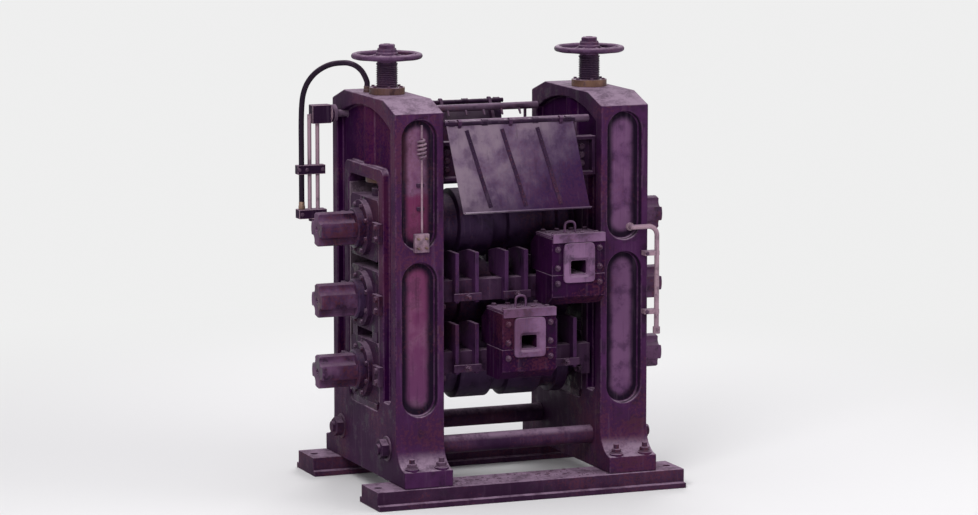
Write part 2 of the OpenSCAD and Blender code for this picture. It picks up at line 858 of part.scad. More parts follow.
// Bent pipe clamped outside the front corner of the right housing
module post_pipe() {
    start_x = side + post_inset;
    pipe_y = -face_y - post_off;
    pipe_x = outer_x + post_past;
    high = pass_high + post_rise;
    low = pass_low + post_foot;
    color("#857883") {
        translate([start_x, -face_y, high])
            rotate([90, 0, 0])
                cylinder(d = post_pipe_d + 20, h = flange_t);
        translate([start_x, -face_y, high])
            rotate([90, 0, 0])
                cylinder(d = post_pipe_d, h = post_off);
        translate([start_x, pipe_y, high])
            sphere(d = post_pipe_d);
        translate([start_x, pipe_y, high])
            rotate([0, 90, 0])
                cylinder(d = post_pipe_d, h = pipe_x - post_bend_r - start_x);
        translate([pipe_x - post_bend_r, pipe_y, high - post_bend_r])
            rotate([90, 0, 0])
                rotate_extrude(angle = 90)
                    translate([post_bend_r, 0])
                        circle(d = post_pipe_d);
        translate([pipe_x, pipe_y, low])
            cylinder(d = post_pipe_d, h = high - post_bend_r - low);
        translate([pipe_x, pipe_y, low + 5 - ferrule_h])
            cylinder(d = post_pipe_d + 16, h = ferrule_h);
        for (z = [low + clip_low, high - clip_high])
            translate([outer_x - clip_lap, pipe_y - clip_front, z])
                cube([clip_lap + post_past + clip_end, clip_front + post_off, clip_h]);
    }
}

// Breaker block between a top chock and its screw
module breaker_block(x) {
    color("#6b5d5a")
        translate([x, 0, breaker_z])
            cylinder(d = breaker_d, h = breaker_t);
}

// Half outline of a roll, drawn along y with the radius on x
module roll_outline() {
    barrel = barrel_l / 2;
    neck_end = outer_x + neck_past;
    difference() {
        union() {
            translate([0, -barrel])
                square([roll_d / 2, barrel_l]);
            translate([0, -neck_end])
                square([neck_d / 2, 2 * neck_end]);
            for (sy = [0, 1])
                mirror([0, sy])
                    translate([neck_d / 2, barrel])
                        difference() {
                            square([neck_fillet, neck_fillet]);
                            translate([neck_fillet, neck_fillet])
                                circle(r = neck_fillet);
                        }
        }
        for (y = [-pass_pitch, 0, pass_pitch])
            translate([roll_d / 2, y])
                polygon([[past, -pass_w / 2], [0, -pass_w / 2], [-pass_depth, -pass_w / 2 + 10],
                         [-pass_depth, pass_w / 2 - 10], [0, pass_w / 2], [past, pass_w / 2]]);
    }
}

// Cloverleaf section of the coupling ends
module wobbler_section() {
    difference() {
        circle(d = wobbler_d);
        for (a = [0 : 90 : 270])
            rotate(a)
                translate([wobbler_d / 2 + 6, 0])
                    circle(d = wobbler_d * 0.36);
    }
}

// Roll with grooved barrel, necks and coupling ends, with its axis at z
module roll(z) {
    color("#7c7077")
        translate([0, 0, z])
            rotate([0, 90, 0]) {
                rotate_extrude()
                    roll_outline();
                for (sz = [0, 1])
                    mirror([0, 0, sz])
                        translate([0, 0, outer_x + neck_past])
                            rotate(45)
                                linear_extrude(wobbler_l)
                                    wobbler_section();
            }
}

// Screw with the spindle that its handwheel sits on
module screw(x) {
    color("#6a5e66")
        translate([x, 0, 0]) {
            translate([0, 0, screw_tip])
                cylinder(d = screw_d, h = shoulder_z - screw_tip);
            translate([0, 0, shoulder_z])
                cylinder(d = spindle_d, h = hub_h);
        }
}

// Handwheel with its hub, spokes, rim and lock nut
module handwheel(x) {
    ring_r = (wheel_d - rim_d) / 2;
    color("#75696b")
        translate([x, 0, shoulder_z]) {
            difference() {
                union() {
                    cylinder(d = hub_d, h = hub_h);
                    for (i = [0 : spoke_n - 1])
                        rotate([0, 90, 360 * i / spoke_n])
                            translate([-hub_h / 2, 0, spindle_d / 2 + 5])
                                cylinder(d = spoke_d, h = ring_r - spindle_d / 2 - 5);
                }
                translate([0, 0, -past])
                    cylinder(d = spindle_d + 2 * seat_gap, h = hub_h + 2 * past);
            }
            translate([0, 0, hub_h / 2])
                rotate_extrude()
                    translate([ring_r, 0])
                        circle(d = rim_d);
            translate([0, 0, hub_h])
                cylinder(d = 1.25 * spindle_d, h = 30, $fn = 6);
        }
}

bedplate();  // bedplate_front
to_rear() bedplate();  // bedplate_rear
housing_left();
housing_right();
separator();  // separator_front
to_rear() separator();  // separator_rear
tie_rod();  // tie_rod_front
to_rear() tie_rod();  // tie_rod_rear
rest_bars();  // rest_bars_front
to_rear() rest_bars();  // rest_bars_rear
box_guides();  // box_guides_front
to_rear() box_guides();  // box_guides_rear
side_guides();  // side_guides_front
to_rear() side_guides();  // side_guides_rear
roll_guard();  // roll_guard_front
to_rear() roll_guard();  // roll_guard_rear
chock(-side, z_bottom);  // chock_bottom_left
chock(side, z_bottom);  // chock_bottom_right
chock(-side, z_middle);  // chock_middle_left
chock(side, z_middle);  // chock_middle_right
packing(-side);  // packing_left
packing(side);  // packing_right
liners(-side);  // liners_left
liners(side);  // liners_right
keepers(-side);  // keepers_left
keepers(side);  // keepers_right
screw_nut(-side);  // screw_nut_left
screw_nut(side);  // screw_nut_right
spray_header_front();
spray_header_rear();
water_riser();
hose_fittings();
hose();
post_pipe();
chock(-side, z_top);  // chock_top_left
chock(side, z_top);  // chock_top_right
breaker_block(-side);  // breaker_block_left
breaker_block(side);  // breaker_block_right
roll(z_top);  // roll_top
roll(z_middle);  // roll_middle
roll(z_bottom);  // roll_bottom
screw(-side);  // screw_left
screw(side);  // screw_right
handwheel(-side);  // handwheel_left
handwheel(side);  // handwheel_right
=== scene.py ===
"""Looks of a three-high bar mill stand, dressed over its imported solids.

Everything is in metres in the part's own frame: +X along the roll axes, the front at -Y, +Z up.
"""
import json
import logging
import math
from collections.abc import Sequence
from dataclasses import dataclass
from enum import Enum

import bmesh
import bpy
import numpy as np
from mathutils import Matrix, Vector

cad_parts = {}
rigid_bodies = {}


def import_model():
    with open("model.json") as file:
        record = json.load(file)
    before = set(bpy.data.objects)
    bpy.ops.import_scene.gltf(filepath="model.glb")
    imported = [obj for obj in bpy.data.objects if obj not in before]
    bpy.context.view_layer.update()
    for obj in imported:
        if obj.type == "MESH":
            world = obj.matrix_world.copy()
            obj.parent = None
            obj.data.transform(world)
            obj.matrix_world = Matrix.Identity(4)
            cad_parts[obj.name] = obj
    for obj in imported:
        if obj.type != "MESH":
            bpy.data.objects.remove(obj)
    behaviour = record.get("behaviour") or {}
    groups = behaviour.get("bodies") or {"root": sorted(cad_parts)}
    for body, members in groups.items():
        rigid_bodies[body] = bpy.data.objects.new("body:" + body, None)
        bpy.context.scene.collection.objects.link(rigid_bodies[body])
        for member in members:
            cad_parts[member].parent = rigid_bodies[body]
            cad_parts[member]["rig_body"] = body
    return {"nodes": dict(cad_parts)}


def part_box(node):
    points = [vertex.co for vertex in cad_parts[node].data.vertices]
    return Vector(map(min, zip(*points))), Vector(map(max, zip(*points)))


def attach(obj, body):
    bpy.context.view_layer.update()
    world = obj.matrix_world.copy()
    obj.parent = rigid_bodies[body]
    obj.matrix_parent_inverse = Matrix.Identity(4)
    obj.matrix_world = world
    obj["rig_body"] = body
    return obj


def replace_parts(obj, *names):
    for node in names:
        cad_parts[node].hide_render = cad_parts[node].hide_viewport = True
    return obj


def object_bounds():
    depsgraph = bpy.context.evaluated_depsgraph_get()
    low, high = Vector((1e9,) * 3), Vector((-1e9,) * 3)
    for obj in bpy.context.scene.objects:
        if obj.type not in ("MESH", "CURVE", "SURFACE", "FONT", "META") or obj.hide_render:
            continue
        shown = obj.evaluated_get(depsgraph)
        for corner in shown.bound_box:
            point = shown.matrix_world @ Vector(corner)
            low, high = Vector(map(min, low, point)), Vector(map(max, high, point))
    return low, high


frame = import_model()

CAD_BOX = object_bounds()
LOG = logging.getLogger("stand")
MERGE = 0.00001
LAP = 0.0005
BUMP = 0.0016
SHARP_EDGE = math.radians(32)
FLAT = math.radians(0.5)
POST_MIDDLE = sum(corner.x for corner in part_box("packing_right")) / 2
RECESS_R = 0.118
RECESSES = ((0.550, 1.540), (1.620, 2.450))

Point = tuple[float, float, float]
Tone = tuple[int, int, int]
Pairs = list[tuple[float, float]]
Socket = bpy.types.NodeSocket


def linear(tone: Tone) -> Point:
    """Turn a screen colour of 0 to 255 into linear values, by the curve that screens use."""
    parts = np.array(tone) / 255
    return tuple(np.where(parts <= 0.04045, parts / 12.92, ((parts + 0.055) / 1.055) ** 2.4).tolist())


class Lay(Enum):
    """The way in which a surface was made, which sets its fine grain."""

    CAST = "cast"
    PLATE = "plate"
    TURNED = "turned"
    DRAWN = "drawn"
    RUBBER = "rubber"


class Titled(Enum):
    """A choice whose name is part of the pieces' names."""

    @property
    def title(self) -> str:
        """Its name as the pieces' names use it."""
        return self.name.lower()


class Side(Titled):
    """The two housings, with the sign of their X."""

    LEFT = -1
    RIGHT = 1


class End(Titled):
    """The two ends of a housing, with the sign of their Y."""

    FRONT = -1
    REAR = 1


class Level(Titled):
    """The three rolls, from the lowest up."""

    BOTTOM = 1
    MIDDLE = 2
    TOP = 3


class PassLine(Titled):
    """The two pass lines, each between two rolls, from the lower up."""

    LOW = 1
    HIGH = 2


@dataclass(frozen=True)
class Finish:
    """A weathered finish: its tones, its shine, how dust, rust and oil lie on it, and the painted light and
    shade that some finishes carry.
    """

    name: str
    base: Tone
    patch: Tone
    lay: Lay = Lay.CAST
    slot: str = ""
    grime: Tone = (22, 5, 28)
    bright: Tone = (98, 70, 98)
    dust: Tone = (148, 122, 146)
    rust: Tone = (92, 42, 52)
    # Painted light: faces that look along Y are made lighter, towards scaled, by this share.
    facing: float = 0.0
    scaled: Tone = (75, 36, 79)
    # Painted shadow: a darker tone that thickens to the lower right, by this share.
    sooty: float = 0.0
    soot: Tone = (38, 6, 52)
    stained: float = 0.0
    stain: Tone = (98, 32, 69)
    # Painted shade with grime along a face recess's outline.
    hollow: bool = False
    dusty: float = 0.75
    rusty: float = 0.25
    oily: float = 0.5
    streaky: float = 0.5
    worn: float = 0.3
    metal: float = 0.25
    rough: float = 0.62
    gloss: float = 0.15


# Housing faces that look along Y are painted lighter (painted light); the other faces keep the darker base.
HOUSING_IRON = Finish("housing_iron", (44, 11, 47), (55, 22, 57), facing=0.7, dusty=0.95,
                      dust=(152, 128, 150), rusty=0.3)
# Side panels painted darker than the housing: painted shade on the housings' sides.
PANEL_IRON_SHADED = Finish("panel_iron", (34, 1, 41), (44, 6, 50), slot="housing_iron", dusty=0.6,
                    streaky=0.25, oily=0.3, metal=0.05, rough=0.8, gloss=0.05)
RECESS_RED = Finish("recess_red", (90, 49, 84), (116, 80, 108), slot="housing_iron", dusty=0.5,
                    rusty=0.2, oily=0.3, metal=0.05, rough=0.75, hollow=True, stained=0.8)
RECESS_GREY = Finish("recess_grey", (99, 66, 99), (80, 48, 83), slot="housing_iron", dusty=0.5,
                     rusty=0.15, oily=0.3, metal=0.05, rough=0.75, hollow=True)
# Recess walls painted near-black: painted shade inside the face recesses.
RECESS_WALL_SHADE = Finish("recess_wall", (26, 6, 33), (38, 15, 43), slot="housing_iron", dusty=0.35,
                     metal=0.05, rough=0.8)
BEDPLATE_IRON = Finish("bedplate_iron", (43, 17, 44), (60, 34, 60), rusty=0.35, dusty=0.9)
BEAM_STEEL = Finish("beam_steel", (41, 16, 45), (58, 33, 60), Lay.PLATE, metal=0.2)
BAR_STEEL = Finish("bar_steel", (64, 40, 66), (46, 24, 49), Lay.PLATE, metal=0.4, rough=0.5)
# Dark iron, its tone also lowered to paint the shade that falls under the guards.
GUIDE_IRON_SHADED = Finish("guide_iron", (40, 5, 44), (30, 2, 35), rusty=0.3, bright=(96, 66, 96),
                    metal=0.1, gloss=0.08)
SIDE_PLATE = Finish("side_plate", (66, 32, 72), (48, 18, 55), Lay.PLATE, "guide_iron", metal=0.25,
                    rough=0.55, dusty=0.6, gloss=0.2)
PLATE_IRON = Finish("plate_iron", (118, 84, 118), (90, 60, 92), Lay.PLATE, "guide_iron", rusty=0.2,
                    metal=0.3, rough=0.5, dusty=0.6, gloss=0.35)
# The guard sheet's painted shadow darkens it towards its lower right.
GUARD_SHEET = Finish("guard_sheet", (115, 98, 113), (90, 70, 94), Lay.PLATE, metal=0.12, rough=0.52,
                     streaky=0.45, oily=0.2, rusty=0.12, dusty=0.45, sooty=0.95, gloss=0.12)
# The lip's paler tone is a painted highlight along the bent lip, fading to the right under the painted
# shadow.
GUARD_LIP_HIGHLIGHT = Finish("guard_lip", (156, 140, 156), (116, 98, 118), Lay.PLATE, "guard_sheet", metal=0.3,
                   rough=0.5, oily=0.3, rusty=0.1, sooty=0.8, soot=(52, 26, 60), gloss=0.4)
GUARD_SEAM = Finish("guard_seam", (34, 16, 40), (48, 28, 53), Lay.PLATE, "guard_sheet", metal=0.2,
                    dusty=0.3)
CHOCK_IRON = Finish("chock_iron", (52, 26, 54), (38, 14, 42), oily=0.9, dusty=0.6)
LINER_STEEL = Finish("liner_steel", (114, 96, 110), (88, 68, 84), Lay.PLATE, metal=0.5, rough=0.42,
                     dusty=0.3, gloss=0.4)
NUT_BRONZE = Finish("nut_bronze", (108, 80, 66), (82, 56, 54), Lay.TURNED, metal=0.6, rough=0.45,
                    rusty=0.0, gloss=0.4)
PIPE_STEEL = Finish("pipe_steel", (90, 68, 90), (68, 46, 70), Lay.DRAWN, metal=0.3, rough=0.5,
                    rusty=0.3, gloss=0.35)
PIPE_PALE = Finish("pipe_pale", (146, 118, 132), (112, 86, 104), Lay.DRAWN, "pipe_steel", metal=0.2,
                   rough=0.5, rusty=0.3, oily=0.4, dusty=0.5, gloss=0.4)
CLAMP_IRON = Finish("clamp_iron", (38, 15, 43), (56, 34, 58), slot="pipe_steel", metal=0.3)
FITTING_BRASS = Finish("fitting_brass", (132, 106, 92), (98, 74, 70), Lay.TURNED, metal=0.6,
                       rough=0.42, rusty=0.0, dusty=0.4, gloss=0.4)
HOSE_RUBBER = Finish("hose_rubber", (27, 15, 31), (40, 27, 43), Lay.RUBBER, metal=0.0, rough=0.72,
                     rusty=0.0, oily=0.2, streaky=0.2, dusty=0.3)
# Dark roll iron, its tone also lowered to paint the shade that falls under the guards.
ROLL_IRON_SHADED = Finish("roll_iron", (54, 32, 63), (38, 15, 49), Lay.TURNED, metal=0.45, rough=0.42,
                   dusty=0.25, gloss=0.25)
COUPLING_STEEL = Finish("coupling_steel", (92, 60, 91), (60, 32, 62), Lay.PLATE, "roll_iron",
                        metal=0.3, rough=0.5, rusty=0.45, dusty=0.5, oily=0.7, gloss=0.2)
SCREW_STEEL = Finish("screw_steel", (27, 8, 33), (42, 20, 46), Lay.TURNED, rough=0.45, oily=0.8,
                     dusty=0.35, rusty=0.1)
WHEEL_IRON = Finish("wheel_iron", (80, 54, 82), (58, 34, 61), metal=0.35, rough=0.5,
                    bright=(150, 130, 148), dusty=0.85)
BOLT_STEEL = Finish("bolt_steel", (82, 60, 80), (60, 38, 60), Lay.PLATE, "bar_steel", metal=0.4,
                    rough=0.5, rusty=0.4)
SCALE_FLAKE = Finish("scale_flake", (78, 54, 72), (44, 26, 46), Lay.PLATE, "bar_steel", metal=0.2,
                     rough=0.7, rusty=0.5)


class Graph:
    """A material's nodes, built with short calls, and the colour laid on so far."""

    def __init__(self, name: str, base: Tone = (0, 0, 0)) -> None:
        """Start a material.

        Args:
            name: Its name.
            base: Its first tone.
        """
        self.material = bpy.data.materials.new(name)
        self.material.use_nodes = True
        self.tree = self.material.node_tree
        self.shader = self.tree.nodes["Principled BSDF"]
        self.place = self.add("ShaderNodeTexCoord").outputs["Object"]
        self.at = self.add("ShaderNodeSeparateXYZ", Vector=self.place).outputs
        facing = self.add("ShaderNodeNewGeometry").outputs["Normal"]
        self.facing = self.add("ShaderNodeSeparateXYZ", Vector=facing).outputs
        self.colour: object = base

    def add(self, kind: str, **inputs: object) -> bpy.types.Node:
        """Add a node.

        Args:
            kind: The node's type.
            inputs: Values or sockets by input name, with _ for a space.

        Returns:
            The node.
        """
        node = self.tree.nodes.new(kind)
        for name, value in inputs.items():
            self.feed(node.inputs[name.replace("_", " ")], value)
        return node

    def feed(self, socket: Socket, value: object) -> None:
        """Link a socket to an input, or set the input's own value.

        Args:
            socket: The input.
            value: A socket, a screen colour or a number.
        """
        if isinstance(value, Socket):
            self.tree.links.new(value, socket)
        else:
            socket.default_value = (*linear(value), 1.0) if isinstance(value, tuple) else value

    def noise(self, scale: float, detail: float = 4.0, along: Point = (1, 1, 1)) -> Socket:
        """Give cloudy noise, about 0.3 to 0.7.

        Args:
            scale: Features a metre.
            detail: Layers of finer noise.
            along: Stretch of the pattern along each axis.

        Returns:
            The noise.
        """
        vector = self.place
        if along != (1, 1, 1):
            mapping = self.add("ShaderNodeMapping", Vector=self.place)
            mapping.inputs["Scale"].default_value = along
            vector = mapping.outputs["Vector"]
        return self.add("ShaderNodeTexNoise", Vector=vector, Scale=scale, Detail=detail,
                        Roughness=0.58).outputs["Fac"]

    def band(self, value: object, low: float, high: float, top: float = 1.0) -> Socket:
        """Rise smoothly from 0 to top as a value goes from low to high.

        Args:
            value: The value.
            low: Where the rise starts.
            high: Where the rise ends.
            top: The height that it reaches.

        Returns:
            The result.
        """
        node = self.tree.nodes.new("ShaderNodeMapRange")
        node.interpolation_type = "SMOOTHSTEP"
        for name, given in (("Value", value), ("From Min", low), ("From Max", high), ("To Max", top)):
            self.feed(node.inputs[name], given)
        return node.outputs["Result"]

    def calc(self, operation: str, first: object, second: object = 0.0) -> Socket:
        """Work out one step of arithmetic.

        Args:
            operation: The Math node's operation.
            first: First value.
            second: Second value.

        Returns:
            The result.
        """
        node = self.tree.nodes.new("ShaderNodeMath")
        node.operation = operation
        self.feed(node.inputs[0], first)
        self.feed(node.inputs[1], second)
        return node.outputs[0]

    def times(self, first: object, second: object) -> Socket:
        """Multiply two values."""
        return self.calc("MULTIPLY", first, second)

    def plus(self, first: object, second: object, share: float = 1.0) -> Socket:
        """Add a share of the second value to the first."""
        return self.calc("ADD", first, second if share == 1 else self.times(second, share))

    def coat(self, share: object, tone: Tone) -> None:
        """Lay a tone over the colour so far.

        Args:
            share: How much of the tone shows.
            tone: The tone.
        """
        node = self.tree.nodes.new("ShaderNodeMix")
        node.data_type = "RGBA"
        for index, given in ((0, share), (6, self.colour), (7, tone)):
            self.feed(node.inputs[index], given)
        self.colour = node.outputs[2]


class Paintshop:
    """Makes each finish's materials once and hands them out."""

    def __init__(self) -> None:
        """Start with no materials."""
        self.made: dict[tuple[str, bool], bpy.types.Material] = {}

    def material(self, finish: Finish, rubbed: bool = False) -> bpy.types.Material:
        """Give a finish's material.

        Args:
            finish: The finish.
            rubbed: True for the version on rubbed edges.

        Returns:
            The material.
        """
        key = (finish.name, rubbed)
        if key not in self.made:
            self.made[key] = self.paint(finish, rubbed)
        return self.made[key]

    def grain(self, graph: Graph, lay: Lay) -> Socket:
        """Make the fine relief that belongs to the way in which a surface was made.

        Args:
            graph: The material's graph.
            lay: The way.

        Returns:
            A height between 0 and 1.
        """
        if lay is Lay.RUBBER:
            wave = graph.add("ShaderNodeTexWave", Scale=1.0,
                             Vector=graph.add("ShaderNodeUVMap").outputs["UV"])
            wave.bands_direction = "DIAGONAL"
            return wave.outputs["Fac"]
        return graph.noise(*{Lay.CAST: (330, 3), Lay.PLATE: (1.0, 3, (60, 60, 14)),
                             Lay.TURNED: (1.0, 2, (700, 3, 3)), Lay.DRAWN: (150, 2)}[lay])

    def hollow_edge(self, graph: Graph, patchy: Socket) -> Socket:
        """Find the painted shade and grime that darken a face recess along its outline.

        From a recess's middle line, the distance is the length of (|x| less the post's middle, height
        past the line's end). The painted shade and grime grow from 0 at 74 mm inside the outline to 1 at 28
        mm.

        Args:
            graph: The material's graph.
            patchy: Noise that roughens the grime's border.

        Returns:
            The share of painted shade and grime.
        """
        across = graph.calc("SUBTRACT", graph.calc("ABSOLUTE", graph.at["X"]), POST_MIDDLE)
        past = []
        for low, high in RECESSES:
            off = graph.calc("ABSOLUTE", graph.calc("SUBTRACT", graph.at["Z"], (low + high) / 2))
            past.append(graph.calc("MAXIMUM", graph.calc("SUBTRACT", off, (high - low) / 2 - RECESS_R)))
        along = graph.calc("MINIMUM", *past)
        away = graph.calc("SQRT", graph.plus(graph.times(across, across), graph.times(along, along)))
        reach = RECESS_R + 0.015
        return graph.band(graph.plus(away, patchy, 0.03), reach - 0.074, reach - 0.028)

    def age(self, graph: Graph, finish: Finish, patchy: Socket, mottled: Socket) -> None:
        """Lay on what belongs to a few finishes: painted light that makes the faces looking along Y lighter,
        a painted shadow that thickens to the lower right, a stain under the grease block's height, and
        painted shade with grime along a recess's outline.

        Args:
            graph: The material's graph.
            finish: The finish.
            patchy: Noise of hand size.
            mottled: Slower noise.
        """
        # Painted light: faces that look along Y are made lighter.
        if finish.facing:
            lit_faces = graph.band(graph.calc("ABSOLUTE", graph.facing["Y"]), 0.6, 0.95, finish.facing)
            graph.coat(graph.times(lit_faces, graph.band(mottled, 0.95, 0.55)), finish.scaled)
        # Painted shadow that thickens to the lower right.
        if finish.sooty:
            below = graph.times(graph.calc("SUBTRACT", 2.25, graph.at["Z"]), 0.9)
            shadow_reach = graph.plus(graph.plus(graph.times(graph.at["X"], 0.8), below), patchy, 0.3)
            graph.coat(graph.band(shadow_reach, -0.12, 0.62, finish.sooty), finish.soot)
        if finish.stained:
            ragged = graph.band(graph.plus(graph.at["Z"], patchy, 0.3), 2.17, 2.07, finish.stained)
            graph.coat(graph.times(ragged, graph.band(graph.at["Z"], 0.4, 1.9)), finish.stain)
        # Painted shade with grime along the recess's outline.
        if finish.hollow:
            graph.coat(self.hollow_edge(graph, patchy), finish.grime)

    def paint(self, finish: Finish, rubbed: bool) -> bpy.types.Material:
        """Build a finish's nodes: two tones, grime, streaks, rust, dust on what faces up, and relief.

        Args:
            finish: The finish.
            rubbed: True to let bright metal through.

        Returns:
            The material.
        """
        graph = Graph(finish.name + ("_rubbed" if rubbed else ""), finish.base)
        broad, patchy, fine = graph.noise(1.7, 3), graph.noise(9, 6), graph.noise(60, 5)
        drips = graph.noise(1.0, 5, (34, 34, 2.2))
        up = graph.facing["Z"]
        wall = graph.band(graph.calc("ABSOLUTE", up), 0.75, 0.35)
        mottled = graph.plus(broad, patchy, 0.6)
        graph.coat(graph.band(mottled, 0.68, 0.92), finish.patch)
        self.age(graph, finish, patchy, mottled)
        oil = graph.band(graph.plus(patchy, fine, 0.35), 0.70, 0.82, finish.oily)
        graph.coat(oil, finish.grime)
        graph.coat(graph.times(graph.band(drips, 0.55, 0.72, 0.6 * finish.streaky), wall), finish.grime)
        graph.coat(graph.times(graph.band(drips, 0.46, 0.30, 0.13 * finish.streaky), wall), finish.dust)
        graph.coat(graph.band(graph.plus(broad, fine, 0.8), 0.92, 1.06, finish.rusty), finish.rust)
        if rubbed:
            graph.coat(graph.band(graph.plus(patchy, fine, 0.7), 0.78, 1.0, finish.worn), finish.bright)
        laid = graph.plus(graph.times(graph.band(graph.plus(patchy, fine, 0.5), 0.52, 0.86), 0.65), 0.35)
        settled = graph.times(graph.band(up, 0.30, 0.92, finish.dusty), laid)
        graph.coat(settled, finish.dust)
        shine = graph.calc("SUBTRACT", finish.rough + 0.12, graph.times(oil, 0.35))
        grained = graph.plus(graph.times(fine, 0.45), self.grain(graph, finish.lay), 0.22)
        height = graph.plus(graph.times(patchy, 1.1), grained)
        bump = graph.add("ShaderNodeBump", Height=height, Strength=0.75, Distance=BUMP)
        bare = graph.times(graph.calc("SUBTRACT", 1.0, settled), finish.metal)
        for name, value in (("Base Color", graph.colour), ("Specular IOR Level", finish.gloss),
                            ("Roughness", graph.plus(shine, settled, 0.3)), ("Metallic", bare),
                            ("Normal", bump.outputs["Normal"])):
            graph.feed(graph.shader.inputs[name], value)
        return graph.material


PAINTS = Paintshop()


@dataclass
class Shape:
    """Points and faces of a mesh that is being put together."""

    points: np.ndarray
    faces: list[list[int]]

    def moved(self, offset: Point) -> "Shape":
        """Shift the shape by an offset."""
        return Shape(self.points + np.array(offset), self.faces)


def joined(shapes: list[Shape]) -> Shape:
    """Put several shapes into one.

    Args:
        shapes: The shapes.

    Returns:
        One shape that holds them all.
    """
    starts = np.cumsum([0] + [len(shape.points) for shape in shapes]).tolist()
    faces = [[i + start for i in face] for shape, start in zip(shapes, starts) for face in shape.faces]
    return Shape(np.vstack([shape.points for shape in shapes]), faces)


def skin(rows: np.ndarray, around: bool = True, ring: bool = False) -> Shape:
    """Cover rows of points with quads: point j of row i joins point j + 1 and the same two of row i + 1.

    Args:
        rows: Points as an array of rows, columns and 3.
        around: True if the last column joins the first, which also caps the two ends.
        ring: True if the last row joins the first.

    Returns:
        The surface.
    """
    count, width = rows.shape[:2]
    index = np.arange(count * width).reshape(count, width)
    if around:
        index = np.hstack([index, index[:, :1]])
    if ring:
        index = np.vstack([index, index[:1]])
    faces = np.stack([index[:-1, :-1], index[:-1, 1:], index[1:, 1:], index[1:, :-1]], -1)
    faces = faces.reshape(-1, 4).tolist()
    if around and not ring:
        faces += [index[0, :width][::-1].tolist(), index[-1, :width].tolist()]
    return Shape(rows.reshape(-1, 3), faces)


def circle(sides: int) -> tuple[np.ndarray, np.ndarray]:
    """Give the cosine and sine of evenly spaced angles once round."""
    angle = np.linspace(0, 2 * np.pi, sides, endpoint=False)
    return np.cos(angle), np.sin(angle)


def turned(profile: Pairs, sides: int = 48, ring: bool = False) -> Shape:
    """Turn a profile round Z: each pair (r, z) becomes a ring of points (r cos a, r sin a, z).

    Args:
        profile: Radius and height pairs from end to end.
        sides: Points round the axis.
        ring: True if the profile closes on itself.

    Returns:
        The turned shape.
    """
    radius, height = np.array(profile, float).T[:, :, None]
    cos, sin = circle(sides)
    return skin(np.stack([radius * cos, radius * sin, height + 0 * cos], -1), ring=ring)


def placed(unit: Shape, where: np.ndarray, axis: Point = (0, 0, 1), spin: float = 0.0) -> Shape:
    """Repeat a shape drawn along +Z: every copy is the unit times one turn, plus its spot.

    Args:
        unit: The shape, drawn from the origin along +Z.
        where: Spots as an array of n and 3.
        axis: Direction that the unit's Z takes.
        spin: Turn in radians about that axis for each next copy.

    Returns:
        All copies as one shape.
    """
    turn = np.array(Vector(axis).to_track_quat("Z", "Y").to_matrix())
    cos, sin = np.cos(spin * np.arange(len(where))), np.sin(spin * np.arange(len(where)))
    x, y, z = unit.points.T
    flat = np.stack([np.outer(cos, x) - np.outer(sin, y), np.outer(sin, x) + np.outer(cos, y),
                     np.broadcast_to(z, (len(where), len(z)))], -1)
    points = flat @ turn.T + np.asarray(where, float)[:, None, :]
    return joined([Shape(copy, unit.faces) for copy in points])


def spots(*ranges: list[float]) -> np.ndarray:
    """Give every combination of the x, y and z values as an array of points."""
    return np.stack(np.meshgrid(*ranges, indexing="ij"), -1).reshape(-1, 3)


def circle_spots(centre: Point, radius: float, count: int, axis: int, start: float = 0.0) -> np.ndarray:
    """Give points evenly round a circle: the centre plus r cos a and r sin a on the other two axes.

    Args:
        centre: Middle of the circle.
        radius: Its radius.
        count: Number of points.
        axis: 0, 1 or 2 for a circle across X, Y or Z.
        start: Angle of the first point, in radians.

    Returns:
        The points.
    """
    angle = start + np.linspace(0, 2 * np.pi, count, endpoint=False)
    rim = radius * np.stack([np.cos(angle), np.sin(angle)], -1)
    return np.array(centre, float) + np.insert(rim, axis, 0.0, axis=-1)


def span(sign: int, near: float, far: float) -> list[float]:
    """Give two distances from the middle as places on one side of it, the lower first."""
    return sorted((sign * near, sign * far))


def hex_bolt(size: float, shank: float = 0.0) -> Shape:
    """Draw a washer, a six-sided head with a chamfered crown and the end of a stud over it.

    Args:
        size: Thread diameter.
        shank: Length of stud that stands over the head, 0 for a plain bolt.

    Returns:
        The bolt, seated at z = 0 and drawn along +Z.
    """
    low, high, end = 0.14, 0.84, 0.84 + shank / size
    parts = [turned([(0, 0), (1.12, 0), (1.12, 0.16), (0, 0.16)], 20),
             turned([(0, low), (0.93, low), (0.93, high - 0.1), (0.84 * 0.93, high), (0, high)], 6)]
    if shank:
        parts.append(turned([(0, high - 0.1), (0.5, high - 0.1), (0.5, end - 0.1), (0.4, end), (0, end)], 14))
    bolt = joined(parts)
    return Shape(bolt.points * size, bolt.faces)


def prism(outline: Pairs, start: float, length: float, axis: int = 0) -> Shape:
    """Carry a flat outline along an axis: one ring of points at each end, joined by quads.

    Args:
        outline: Corner pairs on the other two axes, in order.
        start: Place of the first end along the axis.
        length: Length along the axis.
        axis: 0, 1 or 2 for X, Y or Z.

    Returns:
        The prism.
    """
    rows = np.insert(np.array([outline, outline], float), axis, start, axis=-1)
    rows[1, :, axis] += length
    return skin(rows)


def block(low: Point, high: Point) -> Shape:
    """Draw a block between two corners, to be bevelled when it is built."""
    corners = [(low[1], low[2]), (high[1], low[2]), (high[1], high[2]), (low[1], high[2])]
    return prism(corners, low[0], high[0] - low[0])


